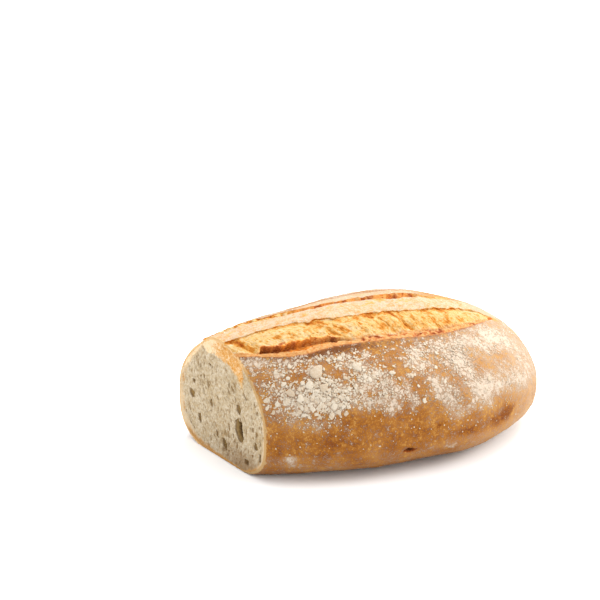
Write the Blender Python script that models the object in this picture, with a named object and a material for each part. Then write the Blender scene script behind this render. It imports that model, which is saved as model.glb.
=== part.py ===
"""A country loaf with its heel cut away, as one solid.

The loaf lies along X on the plane z = 0, its cut face towards -X and its better floured flank towards -Y.
A point of its crust has a station, the distance from the cut along the loaf, and a turn, the angle round
the section: 0 degrees at the back, 90 on top, 180 at the front and 270 underneath.
"""

import math

import bmesh
import bpy
import numpy as np
from mathutils import Matrix, Vector

MM = 0.001

# Driving sizes of the loaf.
WIDTH = 146 * MM
HEIGHT = 81 * MM
LENGTH = 198 * MM
WIDEST_AT = 111 * MM
HIGHEST_AT = 106 * MM
TIP_HEIGHT = 22 * MM
BELLY_SHARE = 0.43  # the widest level, as a share of the height there

# How the plan and the top line close towards the cut-away heel and towards the tip.
HEEL_WIDTH_REACH = 134 * MM
HEEL_HEIGHT_REACH = 172 * MM
HEEL_WIDTH_POWER = 2.4
HEEL_HEIGHT_POWER = 2.2
TIP_WIDTH_POWER = 1.5
TIP_HEIGHT_POWER = 1.6
TIP_UNDERSIDE_POWER = 3.6

# The section: a flattened dome over a squarer, sagging underside that the hearth made flat.
DOME_PINCH = -0.048
UNDERSIDE_FULLNESS = 0.14
HEARTH_SINK = 1.6 * MM

# The loaf is bent a little, and the knife went through it slightly askew.
HEEL_BEND = 7 * MM
TIP_BEND = -2 * MM
KNIFE_SKEW = math.tan(math.radians(-6))
SKEW_FADES_BY = 70 * MM

# The two slashes: (station in mm, turn of the middle line, half opening), turns in degrees.
# Each closes by its last knot but one, and its rows fan out again from there on.
WIDE_SLASH = (
    (0, 104, 10), (20, 108, 14), (50, 111, 12), (80, 114, 11),
    (112, 117, 10), (130, 116, 9), (150, 112, 6), (165, 108, 2.5), (198, 110, 14),
)
NARROW_SLASH = (
    (0, 71, 4.5), (26, 79.5, 4), (50, 86, 3.4), (73, 88.5, 3.2), (87, 89.3, 3.4),
    (100, 91.8, 3.6), (112, 93.8, 3.4), (122, 94.3, 2.8), (134, 93.5, 1.8), (198, 84, 7),
)
SLASH_FADE = 18 * MM
LIP_RISE = 0.9 * MM
RIDGE_LIP_RISE = 1.5 * MM
STRIP_RISE = 0.9 * MM
LEDGE_RISE = 0.2 * MM
TORN_SAG = 0.9 * MM
TORN_CREST = 0.7 * MM
GROOVE_DEPTH = 0.8 * MM
FURROW_DEPTH = 3.2 * MM
# Behind the lip is a ledge of bare dough. Between these stations a torn plate stands over a hollow there.
# The ledge's inner edge, the groove's floor and the plate's edge are shares of the half opening from the lip,
# the last two with what the hollow adds.
LEDGE_TO = 0.28
FLOOR_AT = (0.34, 0.38)
PLATE_AT = (0.42, 0.24)
HOLLOW_FROM = (10 * MM, 14 * MM)
HOLLOW_TO = (48 * MM, 62 * MM)
HOLLOW_DEPTH = 3.6 * MM
PLATE_RISE = 1.9 * MM
# The torn plates: the stations of their edges, at the strip and at the lip.
PLATE_EDGES = (
    (-20, -14), (3, 11), (46, 60), (83, 88), (92, 99), (111, 116), (137, 146), (170, 178),
)
PLATE_BULGE = 1.3 * MM

# Broad swellings left by the hands that shaped it.
UNEVENNESS = 0.7 * MM

# Holes baked into the crumb, where the knife opened them:
# (y, z, half width, half height, depth, lean in degrees), lengths in mm.
HOLES = (
    (-11.2, 22.8, 4.2, 6.6, 7.0, 16), (-11.0, 35.2, 2.0, 2.8, 3.5, 20), (3.3, 9.6, 2.2, 3.4, 5.0, 10),
    (-27.1, 19.1, 1.6, 2.2, 3.0, 8), (-31.5, 13.8, 1.1, 2.8, 2.5, -12), (-18.1, 6.6, 2.5, 1.7, 3.5, 0),
    (37.4, 29.3, 2.4, 2.9, 3.0, 25), (29.2, 16.9, 1.5, 3.0, 3.0, 12), (34.5, 37.6, 1.6, 1.2, 2.0, 0),
    (11.2, 13.5, 1.3, 2.2, 2.5, 15), (17.4, 52.8, 0.9, 1.0, 1.6, 0), (16.5, 30.0, 1.2, 2.4, 2.0, 10),
    (24.0, 44.0, 1.0, 1.3, 1.6, 0), (-2.0, 47.0, 0.9, 1.6, 1.6, 18),
)
HOLE_SINK = 0.3 * MM  # how far behind the cut their middles lie

# A shallow crack low on the flank: station, turn in degrees, half length, half width, depth, in mm.
CRACK = (73.9, 201.6, 3.0, 1.0, 1.4)

# The biggest flakes of dusted flour: (station, turn in degrees, length, width), in mm.
MARKED_FLAKES = (
    (31.4, 136.4, 7.0, 6.4), (14.3, 148.9, 4.8, 4.3), (30.9, 148.7, 4.3, 5.6), (35.6, 145.0, 3.2, 3.2),
    (17.6, 154.5, 5.0, 3.7), (24.6, 145.5, 4.6, 4.8), (6.9, 156.6, 2.8, 3.2), (11.2, 155.6, 3.2, 3.4),
    (3.6, 152.7, 3.6, 3.0), (2.6, 158.3, 2.1, 2.1), (4.6, 162.0, 2.1, 2.1), (54.4, 137.5, 5.2, 4.2),
    (71.2, 146.0, 3.2, 2.7), (73.9, 150.2, 2.1, 2.1), (129.5, 161.0, 3.3, 3.6), (84.0, 166.4, 2.7, 3.0),
)
# Patches of smaller flakes: (stations, turns in degrees, smallest and largest flake, how many).
FLAKE_PATCHES = (
    ((15, 42), (155, 168), (2.2, 4.2), 30),
    ((8, 60), (124, 156), (1.7, 3.0), 24),
    ((45, 110), (130, 165), (1.6, 2.6), 22),
)
FLAKE_SPACING = 0.85
FLAKE_HEIGHT = 0.2  # as a share of its breadth
SEED = 11

RINGS = 56
TRIES = 4000

# Where the middle of the loaf's own box lies, before it is moved to the origin.
MIDDLE = Vector((96.32 * MM, -0.22 * MM, 0))


def through(knots, column, station):
    """A smooth curve through one column of the knots, held level past both ends."""
    table = np.array(knots, float)
    xs, ys = table[:, 0] * MM, table[:, column]
    slopes = np.gradient(ys, xs)
    s = np.clip(station, xs[0], xs[-1])
    i = np.clip(np.searchsorted(xs, s, side="right") - 1, 0, len(xs) - 2)
    gap = xs[i + 1] - xs[i]
    t = (s - xs[i]) / gap
    rise = ys[i + 1] - ys[i]
    bow = (slopes[i] * gap - rise) * (1 - t) - (slopes[i + 1] * gap - rise) * t
    return ys[i] + rise * t + bow * t * (1 - t)


def ramp(low, high, x):
    """0 below low, 1 above high and a smooth step between them."""
    t = np.clip((x - low) / (high - low), 0, 1)
    return t * t * (3 - 2 * t)


def swell(reach, power):
    """A rounded end: 1 at no reach, closing to 0 at full reach."""
    return np.sqrt(np.clip(1 - np.abs(reach) ** power, 0, 1))


def half_width(x):
    heel = swell((WIDEST_AT - x) / HEEL_WIDTH_REACH, HEEL_WIDTH_POWER)
    tip = swell((x - WIDEST_AT) / (LENGTH - WIDEST_AT), TIP_WIDTH_POWER)
    return WIDTH / 2 * np.where(x < WIDEST_AT, heel, tip)


def top_line(x):
    heel = swell((HIGHEST_AT - x) / HEEL_HEIGHT_REACH, HEEL_HEIGHT_POWER)
    tip = swell((x - HIGHEST_AT) / (LENGTH - HIGHEST_AT), TIP_HEIGHT_POWER)
    return TIP_HEIGHT + (HEIGHT - TIP_HEIGHT) * np.where(x < HIGHEST_AT, heel, tip)


def underside_line(x):
    """The lowest level: just under the hearth, then lifting to the tip."""
    reach = np.clip((x - HIGHEST_AT) / (LENGTH - HIGHEST_AT), 0, 1)
    lift = 1 - swell(reach, TIP_UNDERSIDE_POWER)
    return -HEARTH_SINK + (TIP_HEIGHT + HEARTH_SINK) * lift


def middle_line(x):
    """How far the loaf's middle bends sideways."""
    heel = HEEL_BEND * np.clip(1 - x / WIDEST_AT, 0, 1) ** 2
    tip = TIP_BEND * np.clip((x - WIDEST_AT) / (LENGTH - WIDEST_AT), 0, 1) ** 2
    return heel + tip


def smooth_section(x, turn):
    """(y, z) of the bare loaf at a station and a turn in radians."""
    low, high = underside_line(x), top_line(x)
    belly = low + BELLY_SHARE * (high - low)
    up = np.sin(turn) > 0
    fullness = np.where(up, DOME_PINCH, UNDERSIDE_FULLNESS)
    radius = 1 + fullness * np.sin(2 * turn) ** 2
    y = middle_line(x) + half_width(x) * radius * np.cos(turn)
    z = belly + np.where(up, high - belly, belly - low) * radius * np.sin(turn)
    return y, z


def unevenness(x, turn):
    """Broad swellings of a loaf shaped by hand."""
    waves = (
        np.sin(x / (19 * MM) + 2 * turn + 0.6)
        + 0.7 * np.sin(x / (11 * MM) - 3 * turn + 2.1)
        + 0.5 * np.sin(x / (7.5 * MM) + 5 * turn + 4.0)
    )
    return UNEVENNESS * 0.5 * waves * ramp(0, 12 * MM, x) * ramp(0, 25 * MM, LENGTH - x)


def loaf_point(x, turn, lift):
    """(x, y, z) on the loaf, raised by lift along the section's own normal."""
    step = 1e-4
    y, z = smooth_section(x, turn)
    y1, z1 = smooth_section(x, turn + step)
    y0, z0 = smooth_section(x, turn - step)
    dy, dz = y1 - y0, z1 - z0
    size = np.maximum(np.hypot(dy, dz), 1e-12)
    y = y + lift * dz / size
    z = np.maximum(z - lift * dy / size, 0)
    skew = KNIFE_SKEW * y * (1 - ramp(0, SKEW_FADES_BY, x))
    return np.stack([x + skew, y, z], axis=-1)


def landmarks(x):
    """The lines that run along the loaf, from underneath over the front: (turn in degrees, lift, rows to the next)."""
    wide, wide_open = through(WIDE_SLASH, 1, x), through(WIDE_SLASH, 2, x)
    narrow, narrow_open = through(NARROW_SLASH, 1, x), through(NARROW_SLASH, 2, x)
    wide_there = 1 - ramp(WIDE_SLASH[-2][0] * MM - SLASH_FADE, WIDE_SLASH[-2][0] * MM, x)
    narrow_there = 1 - ramp(NARROW_SLASH[-2][0] * MM - SLASH_FADE, NARROW_SLASH[-2][0] * MM, x)
    deep = ramp(*HOLLOW_FROM, x) * (1 - ramp(*HOLLOW_TO, x))
    still = 0 * x
    lip, strip_front = wide + wide_open, wide - wide_open
    floor_at, plate_at = FLOOR_AT[0] + FLOOR_AT[1] * deep, PLATE_AT[0] + PLATE_AT[1] * deep
    strip_back, ridge_lip = narrow + narrow_open, narrow - narrow_open
    return (
        (270 + still, still, 8),
        (180 + still, still, 8),
        (lip + 7, still, 2),
        (lip, LIP_RISE * wide_there, 1),
        (lip - LEDGE_TO * wide_open, LEDGE_RISE * wide_there, 2),
        (lip - floor_at * wide_open, -(GROOVE_DEPTH + HOLLOW_DEPTH * deep) * wide_there, 1),
        (lip - plate_at * wide_open, (PLATE_RISE * deep - 0.5 * GROOVE_DEPTH) * wide_there, 3),
        (lip - 1.2 * wide_open, TORN_CREST * wide_there, 3),
        (strip_front + 0.12 * wide_open, -TORN_SAG * wide_there, 1),
        (strip_front, STRIP_RISE * wide_there, 3),
        (strip_back, STRIP_RISE * narrow_there, 1),
        (narrow + 0.3 * narrow_open, -FURROW_DEPTH * narrow_there, 1),
        (narrow - 0.5 * narrow_open, -FURROW_DEPTH * narrow_there, 1),
        (ridge_lip, RIDGE_LIP_RISE * narrow_there, 2),
        (ridge_lip - 9, still, 8),
        (0 + still, still, 7),
        (-90 + still, still, 0),
    )


def plates(x, turn):
    """Bulging plates with creases between them, where the dough tore as the wide slash opened."""
    middle, opening = through(WIDE_SLASH, 1, x), through(WIDE_SLASH, 2, x)
    across = (np.degrees(turn) - middle) / opening
    edges = [(a + (b - a) * (across + 1) / 2) * MM for a, b in PLATE_EDGES]
    phase = sum(np.clip((x - e) / (f - e), 0, 1) for e, f in zip(edges, edges[1:]))
    inside = np.clip(1 - across**2, 0, 1)
    there = 1 - ramp(WIDE_SLASH[-2][0] * MM - SLASH_FADE, WIDE_SLASH[-2][0] * MM, x)
    return PLATE_BULGE * inside * there * (np.abs(np.sin(math.pi * phase)) ** 0.7 - 0.5)


def ring_points(x):
    """One closed ring of the loft at station x, its points dealt out between the landmarks."""
    marks = landmarks(np.array(float(x)))
    turns, lifts = [], []
    for (turn, lift, rows), (next_turn, next_lift, _) in zip(marks, marks[1:]):
        share = np.arange(rows) / rows
        turns.extend(turn + (next_turn - turn) * share)
        lifts.extend(lift + (next_lift - lift) * share)
    turn = np.radians(np.array(turns))
    lift = np.array(lifts) + plates(x, turn) + unevenness(x, turn)
    return loaf_point(np.full_like(turn, x), turn, lift)


def new_object(name, mesh, collection):
    obj = bpy.data.objects.new(name, mesh)
    collection.objects.link(obj)
    return obj


def loft_loaf(collection):
    """The loaf from the cut to the tip: rings along it, a flat cap on the cut and a fan at the tip."""
    stations = LENGTH * np.sin(np.linspace(0, math.pi / 2, RINGS + 1))[:-1]
    rings = np.stack([ring_points(x) for x in stations])
    around = rings.shape[1]
    tip = np.array([[LENGTH, TIP_BEND, TIP_HEIGHT]])
    points = np.vstack([rings.reshape(-1, 3), tip])
    bm = bmesh.new()
    verts = [bm.verts.new(p) for p in points]
    for i in range(RINGS - 1):
        for j in range(around):
            k = (j + 1) % around
            a, b = i * around, (i + 1) * around
            bm.faces.new((verts[a + j], verts[b + j], verts[b + k], verts[a + k]))
    last = (RINGS - 1) * around
    for j in range(around):
        bm.faces.new((verts[last + j], verts[-1], verts[last + (j + 1) % around]))
    cap = bm.faces.new(verts[:around])
    cap.material_index = 1
    bmesh.ops.recalc_face_normals(bm, faces=bm.faces)
    bmesh.ops.triangulate(bm, faces=bm.faces)
    mesh = bpy.data.meshes.new("loaf")
    bm.to_mesh(mesh)
    bm.free()
    return new_object("loaf", mesh, collection)


def round_lump(name, half_sizes, axes, middle, collection, facets=1):
    """A rounded lump with half sizes along the three axes given, about its middle."""
    bm = bmesh.new()
    bmesh.ops.create_icosphere(bm, subdivisions=facets, radius=1)
    turn = Matrix(axes).transposed().to_4x4()
    place = Matrix.Translation(middle) @ turn @ Matrix.Diagonal((*half_sizes, 1))
    bmesh.ops.transform(bm, matrix=place, verts=bm.verts)
    bmesh.ops.recalc_face_normals(bm, faces=bm.faces)
    mesh = bpy.data.meshes.new(name)
    bm.to_mesh(mesh)
    bm.free()
    return new_object(name, mesh, collection)


def on_crust(station, turn):
    """A point of the crust and the axes there: along the loaf, round it and outwards."""
    x, a, step = station * MM, math.radians(turn), 1e-3

    def at(x, a):
        lift = unevenness(np.array(x), np.array(a))
        return Vector(loaf_point(np.array(x), np.array(a), lift))

    point = at(x, a)
    along = (at(x + step, a) - at(x - step, a)).normalized()
    round_it = (at(x, a + step) - at(x, a - step)).normalized()
    out = round_it.cross(along).normalized()
    if out.dot(point - Vector((x, middle_line(x), HEIGHT / 3))) < 0:
        out.negate()
    return point, along, out.cross(along), out


def flake_plan():
    """Where the flakes lie: the marked ones, then each patch filled with flakes that keep clear of the rest."""
    rng = np.random.default_rng(SEED)
    flakes = list(MARKED_FLAKES)
    taken = [(on_crust(s, t)[0], max(a, b) * MM / 2) for s, t, a, b in flakes]
    for stations, turns, sizes, count in FLAKE_PATCHES:
        placed = 0
        for _ in range(TRIES):
            if placed == count:
                break
            s, t = rng.uniform(*stations), rng.uniform(*turns)
            size = sizes[0] + (sizes[1] - sizes[0]) * rng.random() ** 1.7
            lip = float(through(WIDE_SLASH, 1, s * MM) + through(WIDE_SLASH, 2, s * MM))
            point, radius = on_crust(s, t)[0], size * MM / 2
            clear = all((point - q).length > FLAKE_SPACING * (radius + r) for q, r in taken)
            if clear and t > lip + 4:
                flakes.append((s, t, size, size * rng.uniform(0.7, 1)))
                taken.append((point, radius))
                placed += 1
    return flakes


def combine(loaf, tools, operation):
    """Join or cut with everything in a collection at once, then clear the collection."""
    mod = loaf.modifiers.new("combine", "BOOLEAN")
    mod.operation = operation
    mod.operand_type = "COLLECTION"
    mod.collection = tools
    mod.solver = "MANIFOLD"
    bpy.context.view_layer.objects.active = loaf
    bpy.ops.object.modifier_apply(modifier=mod.name)
    for tool in list(tools.objects):
        bpy.data.objects.remove(tool)
    bpy.data.collections.remove(tools)


def tool_collection(name):
    tools = bpy.data.collections.new(name)
    bpy.context.scene.collection.children.link(tools)
    tools.hide_render = True
    return tools


def open_holes(loaf, crumb):
    """Rounded hollows centred on the knife's cut, and the crack low on the flank."""
    tools = tool_collection("hollows")
    out = Vector((-1, KNIFE_SKEW, 0)).normalized()
    level = Vector((KNIFE_SKEW, 1, 0)).normalized()
    for i, (y, z, wide, high, deep, lean) in enumerate(HOLES):
        spin = Matrix.Rotation(math.radians(lean), 3, out)
        axes = (out, spin @ level, spin @ Vector((0, 0, 1)))
        middle = Vector((KNIFE_SKEW * y, y, z)) * MM - out * HOLE_SINK
        hole = round_lump(f"hole_{i}", (deep * MM, wide * MM, high * MM), axes, middle, tools, 2)
        hole.data.materials.append(crumb)
    station, turn, half_length, half_width_, depth = CRACK
    point, along, across, out = on_crust(station, turn)
    sizes = (half_length * MM, half_width_ * MM, depth * MM)
    crack = round_lump("crack", sizes, (along, across, out), point, tools, 1)
    crack.data.materials.append(crumb)
    combine(loaf, tools, "DIFFERENCE")


def lay_flakes(loaf, flour):
    """Flattened lumps sunk halfway into the crust, each turned its own way."""
    tools = tool_collection("flakes")
    rng = np.random.default_rng(SEED + 1)
    for i, (station, turn, length, width) in enumerate(flake_plan()):
        point, along, across, out = on_crust(station, turn)
        spin = Matrix.Rotation(rng.uniform(-0.5, 0.5), 3, out)
        height = FLAKE_HEIGHT * (length + width) / 2
        sizes = (length / 2 * MM, width / 2 * MM, height * MM)
        flake = round_lump(f"flake_{i}", sizes, (spin @ along, spin @ across, out), point, tools)
        flake.data.materials.append(flour)
    combine(loaf, tools, "UNION")


def material(name, colour, roughness):
    mat = bpy.data.materials.new(name)
    mat.use_nodes = True
    shader = mat.node_tree.nodes["Principled BSDF"]
    shader.inputs["Base Color"].default_value = (*colour, 1)
    shader.inputs["Roughness"].default_value = roughness
    return mat


def finish(loaf):
    """Weld, move the loaf's box over the origin and shade it."""
    bm = bmesh.new()
    bm.from_mesh(loaf.data)
    bmesh.ops.remove_doubles(bm, verts=bm.verts, dist=0.004 * MM)
    bmesh.ops.dissolve_degenerate(bm, edges=bm.edges, dist=0.004 * MM)
    bmesh.ops.translate(bm, vec=-MIDDLE, verts=bm.verts)
    bmesh.ops.triangulate(bm, faces=bm.faces)
    bm.to_mesh(loaf.data)
    bm.free()
    loaf.data.shade_smooth()
    loaf.data.set_sharp_from_angle(angle=math.radians(50))


def main():
    for obj in list(bpy.data.objects):
        bpy.data.objects.remove(obj)
    crust = material("golden_crust", (0.53, 0.25, 0.07), 0.7)
    crumb = material("pale_crumb", (0.66, 0.56, 0.38), 0.9)
    flour = material("dusted_flour", (0.80, 0.73, 0.62), 0.95)
    parts = bpy.data.collections.new("country_loaf")
    bpy.context.scene.collection.children.link(parts)
    loaf = loft_loaf(parts)
    for mat in (crust, crumb, flour):
        loaf.data.materials.append(mat)
    open_holes(loaf, crumb)
    lay_flakes(loaf, flour)
    finish(loaf)


main()
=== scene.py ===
"""The looks of a cut country loaf: floured crust, torn slashes, open crumb and flakes of flour.

A point of the crust has a station, the distance from the cut along the loaf, and a turn, the angle round
the section in degrees: 0 at the back, 90 on top, 180 at the front and 270 underneath.
Lengths are in millimetres until a mesh is made.
"""

import math
from types import SimpleNamespace

import bpy
import numpy as np
from mathutils import Matrix


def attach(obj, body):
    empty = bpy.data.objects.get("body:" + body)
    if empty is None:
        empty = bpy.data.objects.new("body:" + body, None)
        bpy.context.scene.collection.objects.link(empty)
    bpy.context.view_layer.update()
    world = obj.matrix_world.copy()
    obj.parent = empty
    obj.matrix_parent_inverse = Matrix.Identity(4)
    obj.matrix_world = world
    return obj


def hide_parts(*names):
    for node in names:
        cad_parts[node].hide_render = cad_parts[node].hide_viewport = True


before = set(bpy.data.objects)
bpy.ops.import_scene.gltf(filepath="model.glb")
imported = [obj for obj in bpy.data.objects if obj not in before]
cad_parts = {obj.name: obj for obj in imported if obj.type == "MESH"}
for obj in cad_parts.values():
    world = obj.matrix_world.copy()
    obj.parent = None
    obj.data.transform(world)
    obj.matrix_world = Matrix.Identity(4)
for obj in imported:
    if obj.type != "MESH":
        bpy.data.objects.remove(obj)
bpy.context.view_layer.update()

MM = 0.001
SHARP = math.radians(55)

# The loaf's driving sizes.
WIDTH, HEIGHT, LENGTH = 146.0, 81.0, 198.0
WIDEST_AT, HIGHEST_AT, TIP_HEIGHT = 111.0, 106.0, 22.0
BELLY_SHARE = 0.43
HEEL_WIDTH_REACH, HEEL_HEIGHT_REACH = 134.0, 172.0
# How full the lines stay before they close, as powers of the reach towards the heel and towards the tip.
WIDTH_POWERS, TOP_POWERS, UNDERSIDE_POWER = (2.4, 1.5), (2.2, 1.6), 3.6
DOME_PINCH, UNDERSIDE_FULLNESS, HEARTH_SINK = -0.048, 0.14, 1.6
HEEL_BEND, TIP_BEND = 7.0, -2.0
KNIFE_SKEW = math.tan(math.radians(-6))
SKEW_FADES_BY = 70.0
MIDDLE = np.array([96.32, -0.22, 0.0])
UNEVENNESS = 0.35
# Slow waves over the form: length along the loaf, waves round it, start and share.
WAVES = ((19, 2, 0.6, 1.0), (11, -3, 2.1, 0.7), (7.5, 5, 4.0, 0.5))

# The two slashes: station, turn of the middle line, half opening.
WIDE_SLASH = np.array([
    (0, 104, 10), (20, 108, 14), (50, 111, 12), (80, 114, 11),
    (112, 117, 10), (130, 116, 9), (150, 112, 6), (165, 108, 2.5), (198, 110, 14),
], float)
NARROW_SLASH = np.array([
    (0, 71, 4.5), (26, 79.5, 4), (50, 86, 3.4), (73, 88.5, 3.2), (87, 89.3, 3.4),
    (100, 91.8, 3.6), (112, 93.8, 3.4), (122, 94.3, 2.8), (134, 93.5, 1.8), (198, 84, 7),
], float)
SLASH_FADE = 18.0
LIP_RISE, RIDGE_LIP_RISE, STRIP_RISE, LEDGE_RISE = 0.9, -0.2, 0.7, 0.2
BROW_SAG = 0.9
# How deep the narrow slash is at the cut, of its full depth, and where it gets that.
FURROW_SHARE, FURROW_DEEPENS = 0.2, (38, 56)
TORN_SAG, TORN_CREST, GROOVE_DEPTH, FURROW_DEPTH = 0.9, 0.7, 0.8, 3.2
HOLLOW_FROM, HOLLOW_TO = (10.0, 14.0), (48.0, 62.0)
# Shares of the half opening, each with what the hollow adds to it.
LEDGE_TO, FLOOR_AT, PLATE_AT = 0.28, (0.34, 0.38), (0.42, 0.24)
# How much of it the ledge gains, and between which stations.
LEDGE_WIDENS, LEDGE_WIDENS_AT = 0.05, (60, 75)
HOLLOW_DEPTH, PLATE_RISE, PLATE_BULGE, PLATE_ROUND = 2.6, 1.9, 1.2, 1.1
# Where each edge between plates starts at the strip and where it ends at the lip.
PLATE_EDGES = (
    (-20, -14), (3, 11), (46, 60), (83, 88), (92, 99), (111, 116), (137, 146), (170, 178),
)
# How sharp and toasted each of those edges is.
PLATE_CREASES = (0.0, 0.6, 1.0, 0.15, 0.55, 0.2, 0.15, 0.0)

# The valleys in the crust that the torn crumb fills.
WIDE_VALLEY, NARROW_VALLEY, HOLLOW_VALLEY = 3.0, 4.6, 6.0

# The crumb lies inside the crust by the rim, as a slab in a socket.
RIM, SLAB_DEPTH, SOCKET_DEPTH = 0.9, 9.5, 11.0
SEED = 11
# How bright surfaces are against the white floor.
ALBEDO = 0.5


# The form of the loaf.

def through(knots, column, station):
    """A cubic through one column of the knots, its slope at each the mean of the slopes on both sides."""
    xs, ys = knots[:, 0], knots[:, column]
    slopes = np.gradient(ys, xs)
    s = np.clip(station, xs[0], xs[-1])
    i = np.clip(np.searchsorted(xs, s, side="right") - 1, 0, len(xs) - 2)
    gap = xs[i + 1] - xs[i]
    t = (s - xs[i]) / gap
    rise = ys[i + 1] - ys[i]
    bow = (slopes[i] * gap - rise) * (1 - t) - (slopes[i + 1] * gap - rise) * t
    return ys[i] + rise * t + bow * t * (1 - t)


def ramp(low, high, x):
    """0 below low, 1 above high, and 3t^2 - 2t^3 between; it falls where high is less than low."""
    t = np.clip((x - low) / (high - low), 0, 1)
    return t * t * (3 - 2 * t)


def bell(x, middle, reach):
    """1 in the middle, and e to minus the squared distance over the reach on both sides."""
    return np.exp(-(((x - middle) / reach) ** 2))


def swell(reach, power):
    """The square root of 1 less the reach to a power: 1 in the middle, closing round at full reach."""
    return np.sqrt(np.clip(1 - np.abs(reach) ** power, 0, 1))


def half_width(x):
    """The greatest half width times a swell that closes towards the heel and towards the tip."""
    heel = swell((WIDEST_AT - x) / HEEL_WIDTH_REACH, WIDTH_POWERS[0])
    tip = swell((x - WIDEST_AT) / (LENGTH - WIDEST_AT), WIDTH_POWERS[1])
    return WIDTH / 2 * np.where(x < WIDEST_AT, heel, tip)


def top_line(x):
    """The tip's height, and above it a swell up to the full height."""
    heel = swell((HIGHEST_AT - x) / HEEL_HEIGHT_REACH, TOP_POWERS[0])
    tip = swell((x - HIGHEST_AT) / (LENGTH - HIGHEST_AT), TOP_POWERS[1])
    return TIP_HEIGHT + (HEIGHT - TIP_HEIGHT) * np.where(x < HIGHEST_AT, heel, tip)


def underside_line(x):
    """Just under the hearth, and lifting to the tip as 1 less a swell."""
    reach = np.clip((x - HIGHEST_AT) / (LENGTH - HIGHEST_AT), 0, 1)
    return -HEARTH_SINK + (TIP_HEIGHT + HEARTH_SINK) * (1 - swell(reach, UNDERSIDE_POWER))


def middle_line(x):
    """A sideways bend that grows as the square of the distance from the widest station."""
    heel = HEEL_BEND * np.clip(1 - x / WIDEST_AT, 0, 1) ** 2
    tip = TIP_BEND * np.clip((x - WIDEST_AT) / (LENGTH - WIDEST_AT), 0, 1) ** 2
    return heel + tip


def section(x, turn):
    """An ellipse about the belly line, its radius changed by the squared sine of twice the turn."""
    low, high = underside_line(x), top_line(x)
    belly = low + BELLY_SHARE * (high - low)
    a = np.radians(turn)
    up = np.sin(a) > 0
    radius = 1 + np.where(up, DOME_PINCH, UNDERSIDE_FULLNESS) * np.sin(2 * a) ** 2
    y = middle_line(x) + half_width(x) * radius * np.cos(a)
    z = belly + np.where(up, high - belly, belly - low) * radius * np.sin(a)
    return y, z


def unevenness(x, turn):
    """Slow sine waves in station and turn, fading out at the cut and at the tip."""
    a = np.radians(turn)
    waves = sum(share * np.sin(x / length + turns * a + start) for length, turns, start, share in WAVES)
    return UNEVENNESS * waves * ramp(0, 12, x) * ramp(0, 25, LENGTH - x)


def loaf_point(x, turn, lift):
    """The section's point, moved by lift along its normal and then skewed by the knife."""
    y, z = section(x, turn)
    y1, z1 = section(x, turn + 0.01)
    y0, z0 = section(x, turn - 0.01)
    dy, dz = y1 - y0, z1 - z0
    size = np.maximum(np.hypot(dy, dz), 1e-9)
    y, z = y + lift * dz / size, z - lift * dy / size
    z = np.maximum(z, 0)
    skew = KNIFE_SKEW * y * (1 - ramp(0, SKEW_FADES_BY, x))
    return np.stack([x + skew, y, z], axis=-1)


def slash_at(knots, x):
    """The turn of a slash's middle, its half opening, and how far it is there at all."""
    there = 1 - ramp(knots[-2, 0] - SLASH_FADE, knots[-2, 0], x)
    return through(knots, 1, x), through(knots, 2, x), there


def deepness(x):
    """1 where the torn plate stands over a hollow."""
    return ramp(*HOLLOW_FROM, x) * (1 - ramp(*HOLLOW_TO, x))


def edge_stations(across):
    """The stations of the plate edges, each straight from the strip, -1 across, to the lip, 1 across."""
    return [strip_end + (lip_end - strip_end) * (across + 1) / 2 for strip_end, lip_end in PLATE_EDGES]


def plate_phase(x, across):
    """A count of plate edges passed."""
    edges = edge_stations(across)
    return sum(np.clip((x - e) / (f - e), 0, 1) for e, f in zip(edges, edges[1:]))


def plates(x, turn):
    """Bulges between the plates' edges, as a power of the sine of the count of edges."""
    middle, opening, there = slash_at(WIDE_SLASH, x)
    across = (turn - middle) / opening
    inside = np.clip(1 - across**2, 0, 1)
    bulge = np.abs(np.sin(math.pi * plate_phase(x, across))) ** PLATE_ROUND - 0.5
    return PLATE_BULGE * inside * there * bulge


# Noise.

CELL_FACTORS, SEED_FACTOR, STIR_FACTOR = (73856093, 19349663, 83492791), 2654435761, 1274126177
LARGEST = 0xFFFF


def noise(points, size, seed):
    """Random values from -1 to 1 on a cubic lattice, blended between corners by 6t^5 - 15t^4 + 10t^3."""
    p = points / size
    cell = np.floor(p).astype(np.int64)
    f = p - cell
    f = f * f * f * (f * (f * 6 - 15) + 10)
    total = np.zeros(p.shape[:-1])
    for corner in range(8):
        step = np.array([corner >> k & 1 for k in range(3)])
        a, b, c = np.moveaxis((cell + step) * CELL_FACTORS, -1, 0)
        h = a ^ b ^ c ^ seed * SEED_FACTOR
        h = (h ^ h >> 13) * STIR_FACTOR
        h = (h ^ h >> 16) & LARGEST
        weight = np.prod(np.where(step, f, 1 - f), axis=-1)
        total += (2 * h / LARGEST - 1) * weight
    return total


def rough(points, size, octaves, seed):
    """Noise, and finer noise of half the size and strength for each further octave."""
    return sum(noise(points, size / 2**k, seed + k) / 2**k for k in range(octaves))


def line_of(x):
    """Points straight along the loaf, so that noise has one value for each station."""
    return np.stack([x, 0 * x, 0 * x], axis=-1)


# Meshes.

def piece(name, points, faces, attributes):
    """One visible piece from points in millimetres, faces and its float attributes."""
    mesh = bpy.data.meshes.new(name)
    mesh.from_pydata((points - MIDDLE) * MM, [], faces)
    for key, values in attributes.items():
        layer = mesh.attributes.new(key, "FLOAT", "POINT")
        layer.data.foreach_set("value", np.asarray(values, np.float32).ravel())
    mesh.shade_smooth()
    mesh.set_sharp_from_angle(angle=SHARP)
    obj = bpy.data.objects.new(name, mesh)
    bpy.context.scene.collection.objects.link(obj)
    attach(obj, "root")
    return obj


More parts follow.
